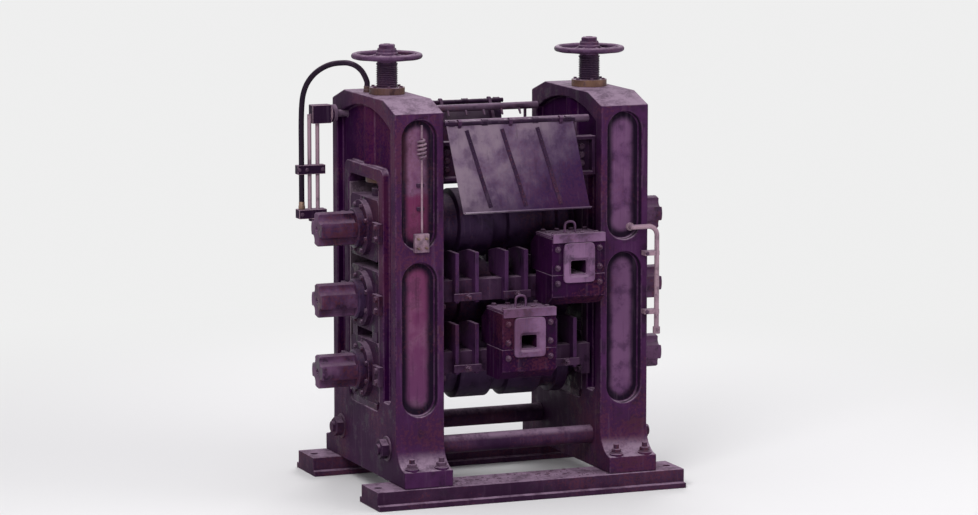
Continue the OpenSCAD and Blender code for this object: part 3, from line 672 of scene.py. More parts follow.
def smooth_path(points: list[Point], steps: int) -> np.ndarray:
    """Draw a smooth line through points by the cubic that passes each one with the slope of its neighbours.

    Between points b and c, with a before and d after, at share t it is
    b + t (c - a) / 2 + t^2 (2a - 5b + 4c - d) / 2 + t^3 (3b - 3c + d - a) / 2.

    Args:
        points: The points.
        steps: New points to each stretch.

    Returns:
        The points along the line.
    """
    p = np.array(points, float)
    p = np.vstack([2 * p[0] - p[1], p, 2 * p[-1] - p[-2]])
    a, b, c, d = (p[i:len(p) - 3 + i, None, :] for i in range(4))
    t = np.linspace(0, 1, steps, endpoint=False)[None, :, None]
    line = b + t * (c - a) / 2 + t ** 2 * (2 * a - 5 * b + 4 * c - d) / 2
    line = line + t ** 3 * (3 * b - 3 * c + d - a) / 2
    return np.vstack([line.reshape(-1, 3), p[-2]])


def swept(path: np.ndarray, radius: float | np.ndarray, sides: int = 16) -> Shape:
    """Carry a circle along a path: each point of the path gets r cos a times one side direction plus
    r sin a times the other, both square to the path and carried on without twist.

    Args:
        path: Points of the centreline.
        radius: One radius, or one for each point.
        sides: Points round the circle.

    Returns:
        The tube with closed ends.
    """
    heading = np.gradient(path, axis=0)
    heading /= np.linalg.norm(heading, axis=1)[:, None]
    first = np.cross(heading, np.eye(3)[np.argmin(np.abs(heading).max(0))])
    first /= np.linalg.norm(first, axis=1)[:, None]
    second = np.cross(heading, first)
    cos, sin = circle(sides)
    ring = cos[:, None] * first[:, None, :] + sin[:, None] * second[:, None, :]
    return skin(path[:, None, :] + np.broadcast_to(radius, (len(path),))[:, None, None] * ring)


@dataclass(frozen=True)
class Region:
    """A box of the frame inside which a piece's faces take another finish."""

    low: Point
    high: Point
    finish: Finish


def dress(mesh: bpy.types.Mesh, finish: Finish, regions: Sequence[Region]) -> None:
    """Give a mesh its finish in slot 0 and its rubbed version, which the bevel uses, in slot 1. A face
    whose middle lies in a region's box takes that region's slot.

    Args:
        mesh: The mesh.
        finish: The main finish.
        regions: Boxes with other finishes.
    """
    mesh.materials.clear()
    mesh.materials.append(PAINTS.material(finish))
    mesh.materials.append(PAINTS.material(finish, rubbed=True))
    centre = np.zeros((len(mesh.polygons), 3), np.float32)
    mesh.polygons.foreach_get("center", centre.ravel())
    index = np.zeros(len(centre), np.int32)
    for slot, region in enumerate(regions, 2):
        mesh.materials.append(PAINTS.material(region.finish))
        index[np.all((centre > region.low) & (centre < region.high), axis=1)] = slot
    mesh.polygons.foreach_set("material_index", index)


def stand_in(name: str, data: bpy.types.ID) -> bpy.types.Object:
    """Put a mesh, a lamp or a camera into the scene.

    Args:
        name: The object's name.
        data: What it shows.

    Returns:
        The object.
    """
    thing = bpy.data.objects.new(name, data)
    bpy.context.scene.collection.objects.link(thing)
    return thing


def weld(mesh: bpy.types.Mesh, cad: bool) -> None:
    """Merge a mesh's doubles, then join a CAD node's flat faces or turn a new mesh's faces outwards.

    Args:
        mesh: The mesh.
        cad: True for a copy of a CAD node.
    """
    solid = bmesh.new()
    solid.from_mesh(mesh)
    bmesh.ops.remove_doubles(solid, verts=solid.verts, dist=MERGE)
    if cad:
        bmesh.ops.dissolve_limit(solid, angle_limit=FLAT, verts=solid.verts, edges=solid.edges)
    else:
        bmesh.ops.dissolve_degenerate(solid, edges=solid.edges, dist=MERGE)
        bmesh.ops.recalc_face_normals(solid, faces=solid.faces)
    solid.to_mesh(mesh)
    solid.free()


def finish_piece(name: str, mesh: bpy.types.Mesh, finish: Finish, edge: float = 0.0, steps: int = 2,
                 body: str = "frame", regions: Sequence[Region] = ()) -> bpy.types.Object:
    """Stand a mesh in the scene, round its edges, dress it and let it ride on its body.

    Args:
        name: The piece's name.
        mesh: Its mesh.
        finish: Its finish.
        edge: Width of the rounded edges, 0 for none.
        steps: Faces across a rounded edge.
        body: CAD body that it moves with.
        regions: Boxes with other finishes.

    Returns:
        The piece.
    """
    piece = stand_in(name, mesh)
    mesh.shade_smooth()
    if edge:
        bevel = piece.modifiers.new("rounded_edges", "BEVEL")
        bevel.width = edge
        bevel.segments = steps
        bevel.limit_method = "ANGLE"
        bevel.angle_limit = SHARP_EDGE
        bevel.use_clamp_overlap = False
        bevel.harden_normals = True
        bevel.material = 1
    else:
        mesh.set_sharp_from_angle(angle=SHARP_EDGE)
    dress(mesh, finish, regions)
    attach(piece, body)
    LOG.info("%s: %d faces on %s", name, len(mesh.polygons), body)
    return piece


def build(name: str, shape: Shape, finish: Finish, edge: float = 0.0, body: str = "frame",
          regions: Sequence[Region] = (), node: str = "") -> bpy.types.Object:
    """Make a piece of a shape.

    Args:
        name: The piece's name.
        shape: Its points and faces.
        finish: Its finish.
        edge: Width of the rounded edges, 0 for none.
        body: CAD body that it moves with.
        regions: Boxes with other finishes.
        node: CAD node that it stands in for, if any.

    Returns:
        The piece.
    """
    mesh = bpy.data.meshes.new(name)
    mesh.from_pydata(shape.points, [], shape.faces)
    weld(mesh, cad=False)
    piece = finish_piece(name, mesh, finish, edge, body=body, regions=regions)
    if node:
        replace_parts(piece, node)
    return piece


def bolts(name: str, size: float, where: np.ndarray, axis: Point = (0, 0, 1), spin: float = 0.5,
          shank: float = 0.0, edge: float = 0.0) -> None:
    """Build one piece of equal bolts on the frame.

    Args:
        name: The piece's name.
        size: Thread diameter.
        where: Their seats.
        axis: Direction that they point in.
        spin: Turn of each next head, in radians.
        shank: Length of stud over the head.
        edge: Width of the rounded edges.
    """
    build(name, placed(hex_bolt(size, shank), where, axis, spin), BOLT_STEEL, edge)


def casting(node: str, finish: Finish, edge: float, steps: int = 2, regions: Sequence[Region] = ()) -> None:
    """Stand a rounded copy of a CAD node in for it, on the same body.

    Args:
        node: The CAD node.
        finish: Its finish.
        edge: Width of the rounded edges.
        steps: Faces across a rounded edge.
        regions: Boxes with other finishes.
    """
    source = frame["nodes"][node]
    mesh = source.data.copy()
    weld(mesh, cad=True)
    if "custom_normal" in mesh.attributes:
        mesh.attributes.remove(mesh.attributes["custom_normal"])
    name = node + "_finished"
    mesh.name = name
    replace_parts(finish_piece(name, mesh, finish, edge, steps, source["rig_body"], regions), node)


@dataclass(frozen=True)
class Layout:
    """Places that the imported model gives, and those that several classes share."""

    side: float
    inner: float
    outer: float
    top: float
    bed: float
    toe: float
    sill: float
    axes: dict[Level, float]
    passes: dict[PassLine, float]
    face: float = 0.590
    window_top: float = 2.030
    window_half: float = 0.280
    rest_drop: float = 0.083
    cover_top: float = 0.207
    guard_drop: float = 0.150
    header_y: float = 0.430
    header_z: float = 2.400
    toe_t: float = 0.110

    @classmethod
    def read(cls) -> "Layout":
        """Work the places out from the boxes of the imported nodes.

        Returns:
            The layout.
        """
        packing_low, packing_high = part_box("packing_right")
        housing_low, housing_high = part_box("housing_right")
        side = (packing_low.x + packing_high.x) / 2
        axes = {level: sum(v.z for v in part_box("roll_" + level.title)) / 2 for level in Level}
        passes = {PassLine.LOW: (axes[Level.BOTTOM] + axes[Level.MIDDLE]) / 2,
                  PassLine.HIGH: (axes[Level.MIDDLE] + axes[Level.TOP]) / 2}
        return cls(side, 2 * side - housing_high.x, housing_high.x, housing_high.z, housing_low.z,
                   housing_high.y, packing_low.z, axes, passes)


@dataclass
class Housings:
    """The two castings with their bolts, on their bedplates."""

    place: Layout
    edge: float = 0.009
    recess_half: float = 0.122
    recess_depth: float = 0.050
    recess_foot: float = 0.300
    recess_drop: float = 0.090
    wall_foot: float = 0.006
    panel_depth: float = 0.048
    panel_drop: float = 0.050
    toe_bolt: float = 0.036
    toe_pad: float = 0.046
    toe_pad_t: float = 0.016
    toe_bolt_at: float = 0.1
    gland_bolt: float = 0.012
    gland_radius: float = 0.097
    gland_height: float = 0.045

    def build(self) -> None:
        """Build the castings, the bedplates and the bolts on them."""
        for side in Side:
            casting("housing_" + side.title, HOUSING_IRON, self.edge, 3, self.regions(side))
            self.bolts(side)
        for end in End:
            casting("bedplate_" + end.title, BEDPLATE_IRON, 0.005)

    def regions(self, side: Side) -> list[Region]:
        """Give the boxes of the face recesses' walls and floors and of the side panels.

        Args:
            side: The housing.

        Returns:
            The regions.
        """
        p, sign = self.place, side.value
        paint = RECESS_RED if side is Side.LEFT else RECESS_GREY
        floor = p.face - self.recess_depth
        low_x, high_x = sign * p.side - self.recess_half, sign * p.side + self.recess_half
        found = []
        for end in End:
            # The recess walls take painted shade; the floors take the recess's own colour.
            for near, far, finish in ((floor + self.wall_foot, p.face - LAP, RECESS_WALL_SHADE),
                                      (floor - 0.010, floor + self.wall_foot, paint)):
                low_y, high_y = span(end.value, near, far)
                found.append(Region((low_x, low_y, p.bed + self.recess_foot),
                                    (high_x, high_y, p.top - self.recess_drop), finish))
        deep, wide = self.panel_depth + 0.004, floor - 0.005
        # The side panels take the darker finish that paints their shade.
        for near, far in ((p.inner + LAP, p.inner + deep), (p.outer - deep, p.outer - LAP)):
            low_x, high_x = span(sign, near, far)
            found.append(Region((low_x, -wide, p.sill), (high_x, wide, p.top - self.panel_drop), PANEL_IRON_SHADED))
        return found

    def bolts(self, side: Side) -> None:
        """Build the pads and bolts on a housing's toes and the bolts of its screw's gland.

        Args:
            side: The housing.
        """
        p, x, name = self.place, side.value * self.place.side, side.title
        reach, thick = p.toe - self.toe_pad, self.toe_pad_t
        seats = spots([x - self.toe_bolt_at, x + self.toe_bolt_at], [-reach, reach], [p.bed + p.toe_t])
        pad = turned([(0, -0.004), (0.046, -0.004), (0.046, thick - 0.004), (0.042, thick), (0, thick)], 28)
        build("toe_pads_" + name, placed(pad, seats), HOUSING_IRON, 0.0015)
        bolts("toe_bolts_" + name, self.toe_bolt, seats + (0, 0, thick), spin=0.4, shank=0.03, edge=0.0012)
        ring = circle_spots((x, 0, p.top + self.gland_height), self.gland_radius, 6, 2, 0.3)
        bolts("gland_bolts_" + name, self.gland_bolt, ring, spin=0.7)


@dataclass
class Chocks:
    """Bearing chocks with their covers, liners, packing and keepers."""

    place: Layout
    cover_bolt: float = 0.016
    cover_radius: float = 0.1555
    nipple_in: float = 0.020
    nipple_up: float = 0.178
    keeper_bolt: float = 0.022
    keeper_past: float = 0.045
    keeper_half: float = 0.038

    def build(self) -> None:
        """Build the chocks on both sides and all that holds them in the windows."""
        for side in Side:
            for level in Level:
                self.one_chock(side, level)
            casting("liners_" + side.title, LINER_STEEL, 0.0015)
            casting("packing_" + side.title, BAR_STEEL, 0.002)
            casting("keepers_" + side.title, BAR_STEEL, 0.004)
            self.keeper_bolts(side)
            casting("breaker_block_" + side.title, BAR_STEEL, 0.004)

    def one_chock(self, side: Side, level: Level) -> None:
        """Build one chock with the bolts and the grease nipple of its cover.

        Args:
            side: The housing that it sits in.
            level: The roll that it carries.
        """
        node, sign = "chock_%s_%s" % (level.title, side.title), side.value
        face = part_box(node)[sign > 0].x
        z = self.place.axes[level]
        casting(node, CHOCK_IRON, 0.004)
        ring = circle_spots((face, 0, z), self.cover_radius, 8, 0, math.pi / 8)
        nipple = turned([(0, 0), (0.008, 0), (0.008, 0.01), (0.005, 0.013), (0.005, 0.02), (0.0065, 0.024),
                         (0.004, 0.029), (0, 0.029)], 12)
        spot = np.array([[face - sign * self.nipple_in, 0, z + self.nipple_up]])
        parts = [placed(hex_bolt(self.cover_bolt), ring, (sign, 0, 0), 0.5), placed(nipple, spot)]
        build(node + "_bolts", joined(parts), BOLT_STEEL, body=frame["nodes"][node]["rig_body"])

    def keeper_bolts(self, side: Side) -> None:
        """Build the bolts that hold the keeper plates to the housing.

        Args:
            side: The housing.
        """
        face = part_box("keepers_" + side.title)[side.value > 0].x
        across = self.place.window_half + self.keeper_past
        heights = [self.place.axes[level] + up * self.keeper_half for level in Level for up in (-1, 1)]
        bolts("keeper_bolts_" + side.title, self.keeper_bolt, spots([face], [-across, across], heights),
              (side.value, 0, 0), 0.35, edge=0.001)


@dataclass
class Rolls:
    """Grooved rolls with their necks and cloverleaf coupling ends."""

    place: Layout
    barrel_r: float = 0.225
    barrel_half: float = 0.475
    neck_r: float = 0.130
    neck_past: float = 0.080
    fillet: float = 0.024
    pass_pitch: float = 0.340
    pass_half: float = 0.055
    pass_floor: float = 0.045
    pass_depth: float = 0.036
    lobe_r: float = 0.110
    notch_r: float = 0.0396
    notch_at: float = 0.116
    chamfer: float = 0.010
    sides: int = 192

    def build(self) -> None:
        """Build the three rolls."""
        neck_end, far, r = self.place.outer + self.neck_past, 2.0, self.lobe_r
        for level in Level:
            node, z = "roll_" + level.title, self.place.axes[level]
            ends = [Region((low, -r, z - r), (high, r, z + r), COUPLING_STEEL)
                    for low, high in ((-far, LAP - neck_end), (neck_end - LAP, far))]
            build(node + "_turned", self.roll(z), ROLL_IRON_SHADED, body=frame["nodes"][node]["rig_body"],
                  regions=ends, node=node)

    def half_profile(self) -> Pairs:
        """List the place along X and the radius from the middle to the end of one neck, with small rounds.

        Returns:
            The pairs.
        """
        surface, floor, end = self.barrel_r, self.barrel_r - self.pass_depth, self.barrel_half
        flank = [(self.pass_floor - 0.003, floor), (self.pass_floor + 0.0006, floor + 0.002),
                 (self.pass_half - 0.0006, surface - 0.003), (self.pass_half + 0.003, surface)]
        rows = [(0.0, floor)] + flank
        rows += [(self.pass_pitch - x, r) for x, r in reversed(flank)]
        rows += [(self.pass_pitch + x, r) for x, r in flank]
        rows += [(end - 0.006, surface), (end, surface - 0.006), (end, self.neck_r + self.fillet)]
        rows += [(end + self.fillet * (1 - math.cos(a)), self.neck_r + self.fillet * (1 - math.sin(a)))
                 for a in np.linspace(0, math.pi / 2, 7)[1:].tolist()]
        return rows

    def roll(self, z: float) -> Shape:
        """Draw one roll round the axis at height z.

        Every row is a ring at its place along X. On the barrel and necks its radius is the profile's.
        On a coupling end the radius in the direction a is the smaller of the lobe circle's and of
        d cos b - sqrt(n^2 - d^2 sin^2 b), where b is the angle from the nearest notch, d the notch
        centre's distance and n its radius.

        Args:
            z: Height of the axis.

        Returns:
            The roll.
        """
        angle = np.linspace(0, 2 * np.pi, self.sides, endpoint=False)
        end, neck_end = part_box("roll_middle")[1].x, self.place.outer + self.neck_past
        beside = np.abs(angle % (math.pi / 2) - math.pi / 4)
        inside = self.notch_r ** 2 - (self.notch_at * np.sin(beside)) ** 2
        cut = self.notch_at * np.cos(beside) - np.sqrt(np.maximum(inside, 0))
        clover = np.where(inside > 0, np.minimum(self.lobe_r, cut), self.lobe_r)
        neck = [(neck_end - self.chamfer, self.neck_r), (neck_end, self.neck_r - self.chamfer)]
        rings = [(x, np.full(self.sides, r)) for x, r in self.half_profile() + neck]
        rings += [(x, clover * share) for x, share in ((neck_end, 1.0), (end - 0.008, 1.0), (end, 0.93))]
        rings += [(x, np.minimum(clover * share, self.lobe_r * 0.2))
                  for x, share in ((end, 0.20), (end - 0.014, 0.10), (end - 0.014, 0.0))]
        along, radius = np.array([x for x, _ in rings]), np.array([reach for _, reach in rings])
        along = np.concatenate([-along[::-1], along[1:]])
        radius = np.concatenate([radius[::-1], radius[1:]])
        return skin(np.stack([np.broadcast_to(along[:, None], radius.shape), radius * np.cos(angle),
                              radius * np.sin(angle) + z], -1))


@dataclass
class Screws:
    """Screws with cut threads and the handwheels that turn them."""

    place: Layout
    crest: float = 0.070
    root: float = 0.0645
    pitch: float = 0.012
    turn_steps: int = 40
    spindle_r: float = 0.045
    hub_h: float = 0.090
    rim_r: float = 0.209
    rim_rise: float = 0.045
    tube_r: float = 0.0205
    hub_r: float = 0.070
    hub_gap: float = 0.0006
    spokes: int = 5

    def build(self) -> None:
        """Build both screws, handwheels and nuts."""
        for side in Side:
            for kind, ending, shape, finish in (("screw_", "_cut", self.screw(side), SCREW_STEEL),
                                                ("handwheel_", "_cast", self.wheel(side), WHEEL_IRON)):
                node = kind + side.title
                build(node + ending, shape.moved((side.value * self.place.side, 0, 0)), finish,
                      body=side.title + "_screw", node=node)
            casting("screw_nut_" + side.title, NUT_BRONZE, 0.002)

    def screw(self, side: Side) -> Shape:
        """Draw a screw as a helix: at turn t the thread's section is carried round the axis and up.

        The section has root, flank, crest and flank. The point of share s of the section at angle a
        lies at height pitch (a / 2 pi + s), held between the screw's two ends, and at the root's or
        the crest's radius, which falls back to the root over the last turn at both ends.

        Args:
            side: The housing that it stands in.

        Returns:
            The screw, round the origin.
        """
        low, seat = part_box("screw_" + side.title)[0].z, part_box("handwheel_" + side.title)[0].z
        high = seat - self.pitch
        turns = int((high - low) / self.pitch) + 2
        share = np.array([0.0, 0.28, 0.42, 0.62, 0.76, 1.0])
        rise = np.array([0.0, 0.0, 1.0, 1.0, 0.0, 0.0])
        angle = np.linspace(0, 2 * np.pi * turns, turns * self.turn_steps + 1)[:, None]
        height = low - self.pitch + self.pitch * (angle / (2 * np.pi) + share)
        fade = np.clip(np.minimum(height - low, high - height) / self.pitch, 0, 1)
        radius = self.root + (self.crest - self.root) * rise * fade
        rows = np.stack([radius * np.cos(angle), radius * np.sin(angle), np.clip(height, low, high)], -1)
        tip, root, crest, spindle = seat + self.hub_h, self.root, self.crest, self.spindle_r
        core = turned([(0, low), (root - 0.004, low), (root, low + 0.004), (root, high),
                       (crest - 0.001, high), (crest - 0.001, seat - 0.001), (crest - 0.003, seat),
                       (spindle, seat), (spindle, tip), (0, tip)], 80)
        return joined([skin(rows, around=False), core.moved((0, 0, 0.0002))])

    def wheel(self, side: Side) -> Shape:
        """Draw a handwheel: a rim swept round a circle, dished spokes that swell at both ends, and a hub.

        Args:
            side: The housing that it stands on.

        Returns:
            The wheel, round the origin.
        """
        seat, top = (corner.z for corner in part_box("handwheel_" + side.title))
        rim_z, bore, hub = seat + self.rim_rise, self.spindle_r + self.hub_gap, self.hub_r
        around = np.linspace(0, 2 * np.pi, 120, endpoint=False)[:, None]
        cos, sin = circle(20)
        grip = self.tube_r * (1 - 0.03 * np.cos(10 * around))
        reach = self.rim_r + grip * cos
        rows = np.stack([reach * np.cos(around), reach * np.sin(around), rim_z + 0.92 * grip * sin], -1)
        edge = [(bore, 0), (hub - 0.012, 0), (hub - 0.006, 0.006), (hub - 0.006, 0.02), (hub, 0.026),
                (hub, 0.064), (hub - 0.006, 0.07), (hub - 0.008, 0.086), (hub - 0.012, self.hub_h),
                (bore, self.hub_h)]
        s, start = np.linspace(0, 1, 15), self.spindle_r + 0.012
        bow = np.sin(np.pi * s)
        arm = swept(np.stack([start + s * (self.rim_r - start), 0.010 * bow, rim_z - 0.012 * bow], -1),
                    0.0115 + 0.006 * (2 * s - 1) ** 4, 14)
        washer = [(0, seat + 0.089), (0.060, seat + 0.089), (0.060, seat + 0.094), (0, seat + 0.094)]
        lock = [(0, seat + 0.093), (0.0555, seat + 0.093), (0.0555, top - 0.004), (0.049, top), (0, top)]
        crown = [(0, top - 0.006), (0.024, top - 0.006), (0.024, top - 0.001), (0.02, top + 0.004),
                 (0, top + 0.004)]
        turns = [Matrix.Rotation(k * 2 * math.pi / self.spokes, 3, "Z") for k in range(self.spokes)]
        return joined([skin(rows, ring=True), turned([(r, seat + up) for r, up in edge], 64, ring=True),
                       turned(washer, 36), turned(lock, 6), turned(crown, 24),
                       *(Shape(arm.points @ np.array(turn).T, arm.faces) for turn in turns)])


@dataclass
class Beams:
    """Separators, tie rods and rest bars between the housings, with their bolts."""

    place: Layout
    flange_bolt: float = 0.020
    flange_at: float = 0.075
    flange_drop: float = 0.070
    web_share: float = 0.275
    ribs: tuple[float, ...] = (-0.270, 0.0, 0.270)
    rib_t: float = 0.014
    rib_back: float = 0.006
    rib_gap: float = 0.022
    foot_bolt: float = 0.022
    foot_bolt_at: float = 0.024
    foot_t: float = 0.0603
    foot_drop: float = 0.172
    tie_z: float = 0.330
    tie_y: float = 0.430

    def build(self) -> None:
        """Build the cross members at the front and the rear."""
        for end in End:
            casting("separator_" + end.title, BEAM_STEEL, 0.004)
            casting("tie_rod_" + end.title, BEAM_STEEL, 0.003)
            casting("rest_bars_" + end.title, BAR_STEEL, 0.004)
            self.separator_parts(end)
            self.ends(end)

    def separator_parts(self, end: End) -> None:
        """Build the stiffening ribs inside a separator's channel and the bolts in its end plates.

        Args:
            end: The end that it stands at.
        """
        name, sign = end.title, end.value
        low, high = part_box("separator_" + name)
        outer, inner = (low.y, high.y) if sign < 0 else (high.y, low.y)
        web = inner - (inner - outer) * self.web_share
        y, wide, gap = sorted((outer - sign * self.rib_back, web)), self.rib_t / 2, self.rib_gap
        ribs = [block((x - wide, y[0], low.z + gap), (x + wide, y[1], high.z - gap)) for x in self.ribs]
        build("separator_ribs_" + name, joined(ribs), BEAM_STEEL, 0.002)
        across = self.place.inner - self.flange_at
        heights = [low.z + self.flange_drop, (low.z + high.z) / 2, high.z - self.flange_drop]
        bolts("separator_bolts_" + name, self.flange_bolt, spots([-across, across], [web], heights),
              (0, sign, 0), 0.3, edge=0.001)

    def ends(self, end: End) -> None:
        """Build the bolts in the feet of the rest bars and the big washers under the tie rod's nuts.

        Args:
            end: The end that they stand at.
        """
        p = self.place
        low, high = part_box("rest_bars_" + end.title)
        y, beside = (low.y + high.y) / 2, self.foot_bolt_at
        heights = [height - p.rest_drop - self.foot_drop for height in p.passes.values()]
        washer = turned([(0, 0), (0.082, 0), (0.082, 0.006), (0.080, 0.009), (0, 0.009)], 40)
        feet, washers = [], []
        for x in (-1, 1):
            seats = spots([x * (p.inner - self.foot_t)], [y - beside, y + beside], heights)
            feet.append(placed(hex_bolt(self.foot_bolt), seats, (-x, 0, 0), 0.4))
            seats = np.array([[x * p.outer, end.value * self.tie_y, self.tie_z]])
            washers.append(placed(washer, seats, (x, 0, 0)))
        build("rest_foot_bolts_" + end.title, joined(feet), BOLT_STEEL)
        build("tie_washers_" + end.title, joined(washers), BOLT_STEEL)


@dataclass
class Guides:
    """Box guides and side guides on the rest bars."""

    place: Layout
    pitch: float = 0.340
    half_width: float = 0.185
    half_nose: float = 0.093
    nose_tip: float = 0.180
    nose_span: tuple[float, float] = (-0.090, 0.200)
    reach: float = 0.700
    near: float = 0.4203
    cover_t: float = 0.018
    bolt: float = 0.018
    bolt_at: float = 0.145
    bolt_mid: float = 0.050
    bolt_back: float = 0.030
    bolt_front: float = 0.060
    clamp_heights: tuple[float, ...] = (-0.100, 0.0, 0.120)
    strip_t: float = 0.012
    strip_drop: float = 0.045
    grip_r: float = 0.008
    grip_in: float = 0.130
    strap_face: float = 0.4803
    strap_t: float = 0.016
    strap_half: tuple[float, float] = (0.095, 0.024)
    strap_drop: float = 0.185
    strap_bolt: float = 0.022

    def build(self) -> None:
        """Build the guides at the front and the rear."""
        boxes = ((PassLine.HIGH, self.pitch), (PassLine.LOW, 0.0))
        for end in End:
            regions = [region for level, x in boxes for region in self.regions(end, level, x)]
            casting("box_guides_" + end.title, GUIDE_IRON_SHADED, 0.005, 3, regions)
            casting("side_guides_" + end.title, SIDE_PLATE, 0.003)
            for level, x in boxes:
                self.one_box(end, level, x)
            self.side_straps(end)

    def regions(self, end: End, level: PassLine, x: float) -> tuple[Region, Region]:
        """Give the boxes of one box guide's cover and of its nose, which are bare plates.

        Args:
            end: The end that it stands at.
            level: Its pass line.
            x: Middle of the guide along the rolls.

        Returns:
            The two regions.
        """
        z, lap = self.place.passes[level], 0.001
        top = z + self.place.cover_top
        low_y, high_y = span(end.value, self.near - lap, self.reach + lap)
        wide, low_z = self.half_width + lap, top - self.cover_t - lap / 10
        cover = Region((x - wide, low_y, low_z), (x + wide, high_y, top + lap), PLATE_IRON)
        low_y, high_y = span(end.value, self.nose_tip, self.near - lap)
        wide, (low_z, high_z) = self.half_nose + lap, self.nose_span
        return cover, Region((x - wide, low_y, z + low_z), (x + wide, high_y, z + high_z), BAR_STEEL)

    def one_box(self, end: End, level: PassLine, x: float) -> None:
        """Build a box guide's cover bolts, front strip, mouth plate and lifting handle.

        Args:
            end: The end that it stands at.
            level: Its pass line.
            x: Middle of the guide along the rolls.
        """
        sign, z = end.value, self.place.passes[level]
        top = z + self.place.cover_top
        name = "%s_%s" % (level.title, end.title)
        seats = spots([x - self.bolt_at, x - self.bolt_mid, x + self.bolt_mid, x + self.bolt_at],
                      [sign * (self.near + self.bolt_back), sign * (self.reach - self.bolt_front)], [top])
        bolts("guide_cover_bolts_" + name, self.bolt, seats, spin=0.45)
        back, rim, lip = (sign * (self.reach + off) for off in (-0.030, 0.0004, 0.014))
        wide, crown, foot = self.half_width - 0.004, top + self.strip_t, top - self.strip_drop
        strip = prism([(back, top), (back, crown), (lip, crown), (lip, foot), (rim, foot), (rim, top)],
                      x - wide, 2 * wide)
        build("guide_strip_" + name, strip, PLATE_IRON, 0.0025)
        self.mouth(name, sign, x, z)
        y = sign * (self.near + self.grip_in)
        half = [(0.035, -0.004), (0.035, 0.040), (0.027, 0.062)]
        grip = [(x - off, y, top + up) for off, up in half + [(0, 0.070)]]
        grip += [(x + off, y, top + up) for off, up in half[::-1]]
        build("guide_handle_" + name, swept(smooth_path(grip, 4), self.grip_r, 12), PLATE_IRON)

    def mouth(self, name: str, sign: int, x: float, z: float) -> None:
        """Build the flared mouth plate round the channel, from one closed section carried round a rectangle.

        The section runs from the plate's outer rim over its face to the flare and back along the
        channel wall. Each of its points has an offset from the channel's wall and a depth, and lies on
        the rectangle that is wider by that offset, with corners rounded by a power curve. Above the
        middle the outer rim is drawn up to the strip under the cover, to close the channel's top.

        Args:
            name: End of the piece's name.
            sign: -1 for front, 1 for rear.
            x: Middle of the channel.
            z: Pass line.
        """
        offset = np.array([0.052, 0.052, 0.049, 0.020, 0.014, 0.0, -0.001, -0.001, 0.0])
        depth = np.array([0.0, 0.015, 0.018, 0.018, 0.014, -0.010, -0.014, -0.004, 0.0])
        wide, tall, power, sides = 0.055, 0.045, 0.22, 96
        ring_x, ring_z = (np.sign(turn) * np.abs(turn) ** power for turn in circle(sides))
        lift = np.maximum(ring_z, 0)[:, None] * np.where(offset > 0.04, 0.062, 0.0)
        rows = np.stack([x + ring_x[:, None] * (wide + offset),
                         sign * (self.reach + depth) * np.ones((sides, 1)),
                         z + ring_z[:, None] * (tall + offset) + lift], -1)
        build("guide_mouth_" + name, skin(rows, ring=True), PLATE_IRON)
        seats = spots([x - self.bolt_at, x + self.bolt_at], [sign * self.reach],
                      [z + up for up in self.clamp_heights])
        bolts("guide_clamp_bolts_" + name, self.bolt, seats, (0, sign, 0), shank=0.012)

    def side_straps(self, end: End) -> None:
        """Build the clamp straps and bolts that hold the side guide plates against the rest bars.

        Args:
            end: The end that they stand at.
        """
        straps, seats, front = [], [], self.strap_face + self.strap_t
        (wide, tall), (low_y, high_y) = self.strap_half, span(end.value, self.strap_face, front)
        for x, level in ((0.0, PassLine.HIGH), (-self.pitch, PassLine.HIGH), (-self.pitch, PassLine.LOW),
                         (self.pitch, PassLine.LOW)):
            z = self.place.passes[level] - self.strap_drop
            straps.append(block((x - wide, low_y, z - tall), (x + wide, high_y, z + tall)))
            seats.append([x, end.value * front, z])
        build("guide_straps_" + end.title, joined(straps), BAR_STEEL, 0.003)
        bolts("guide_strap_bolts_" + end.title, self.strap_bolt, np.array(seats), (0, end.value, 0), 0.4,
              shank=0.025)


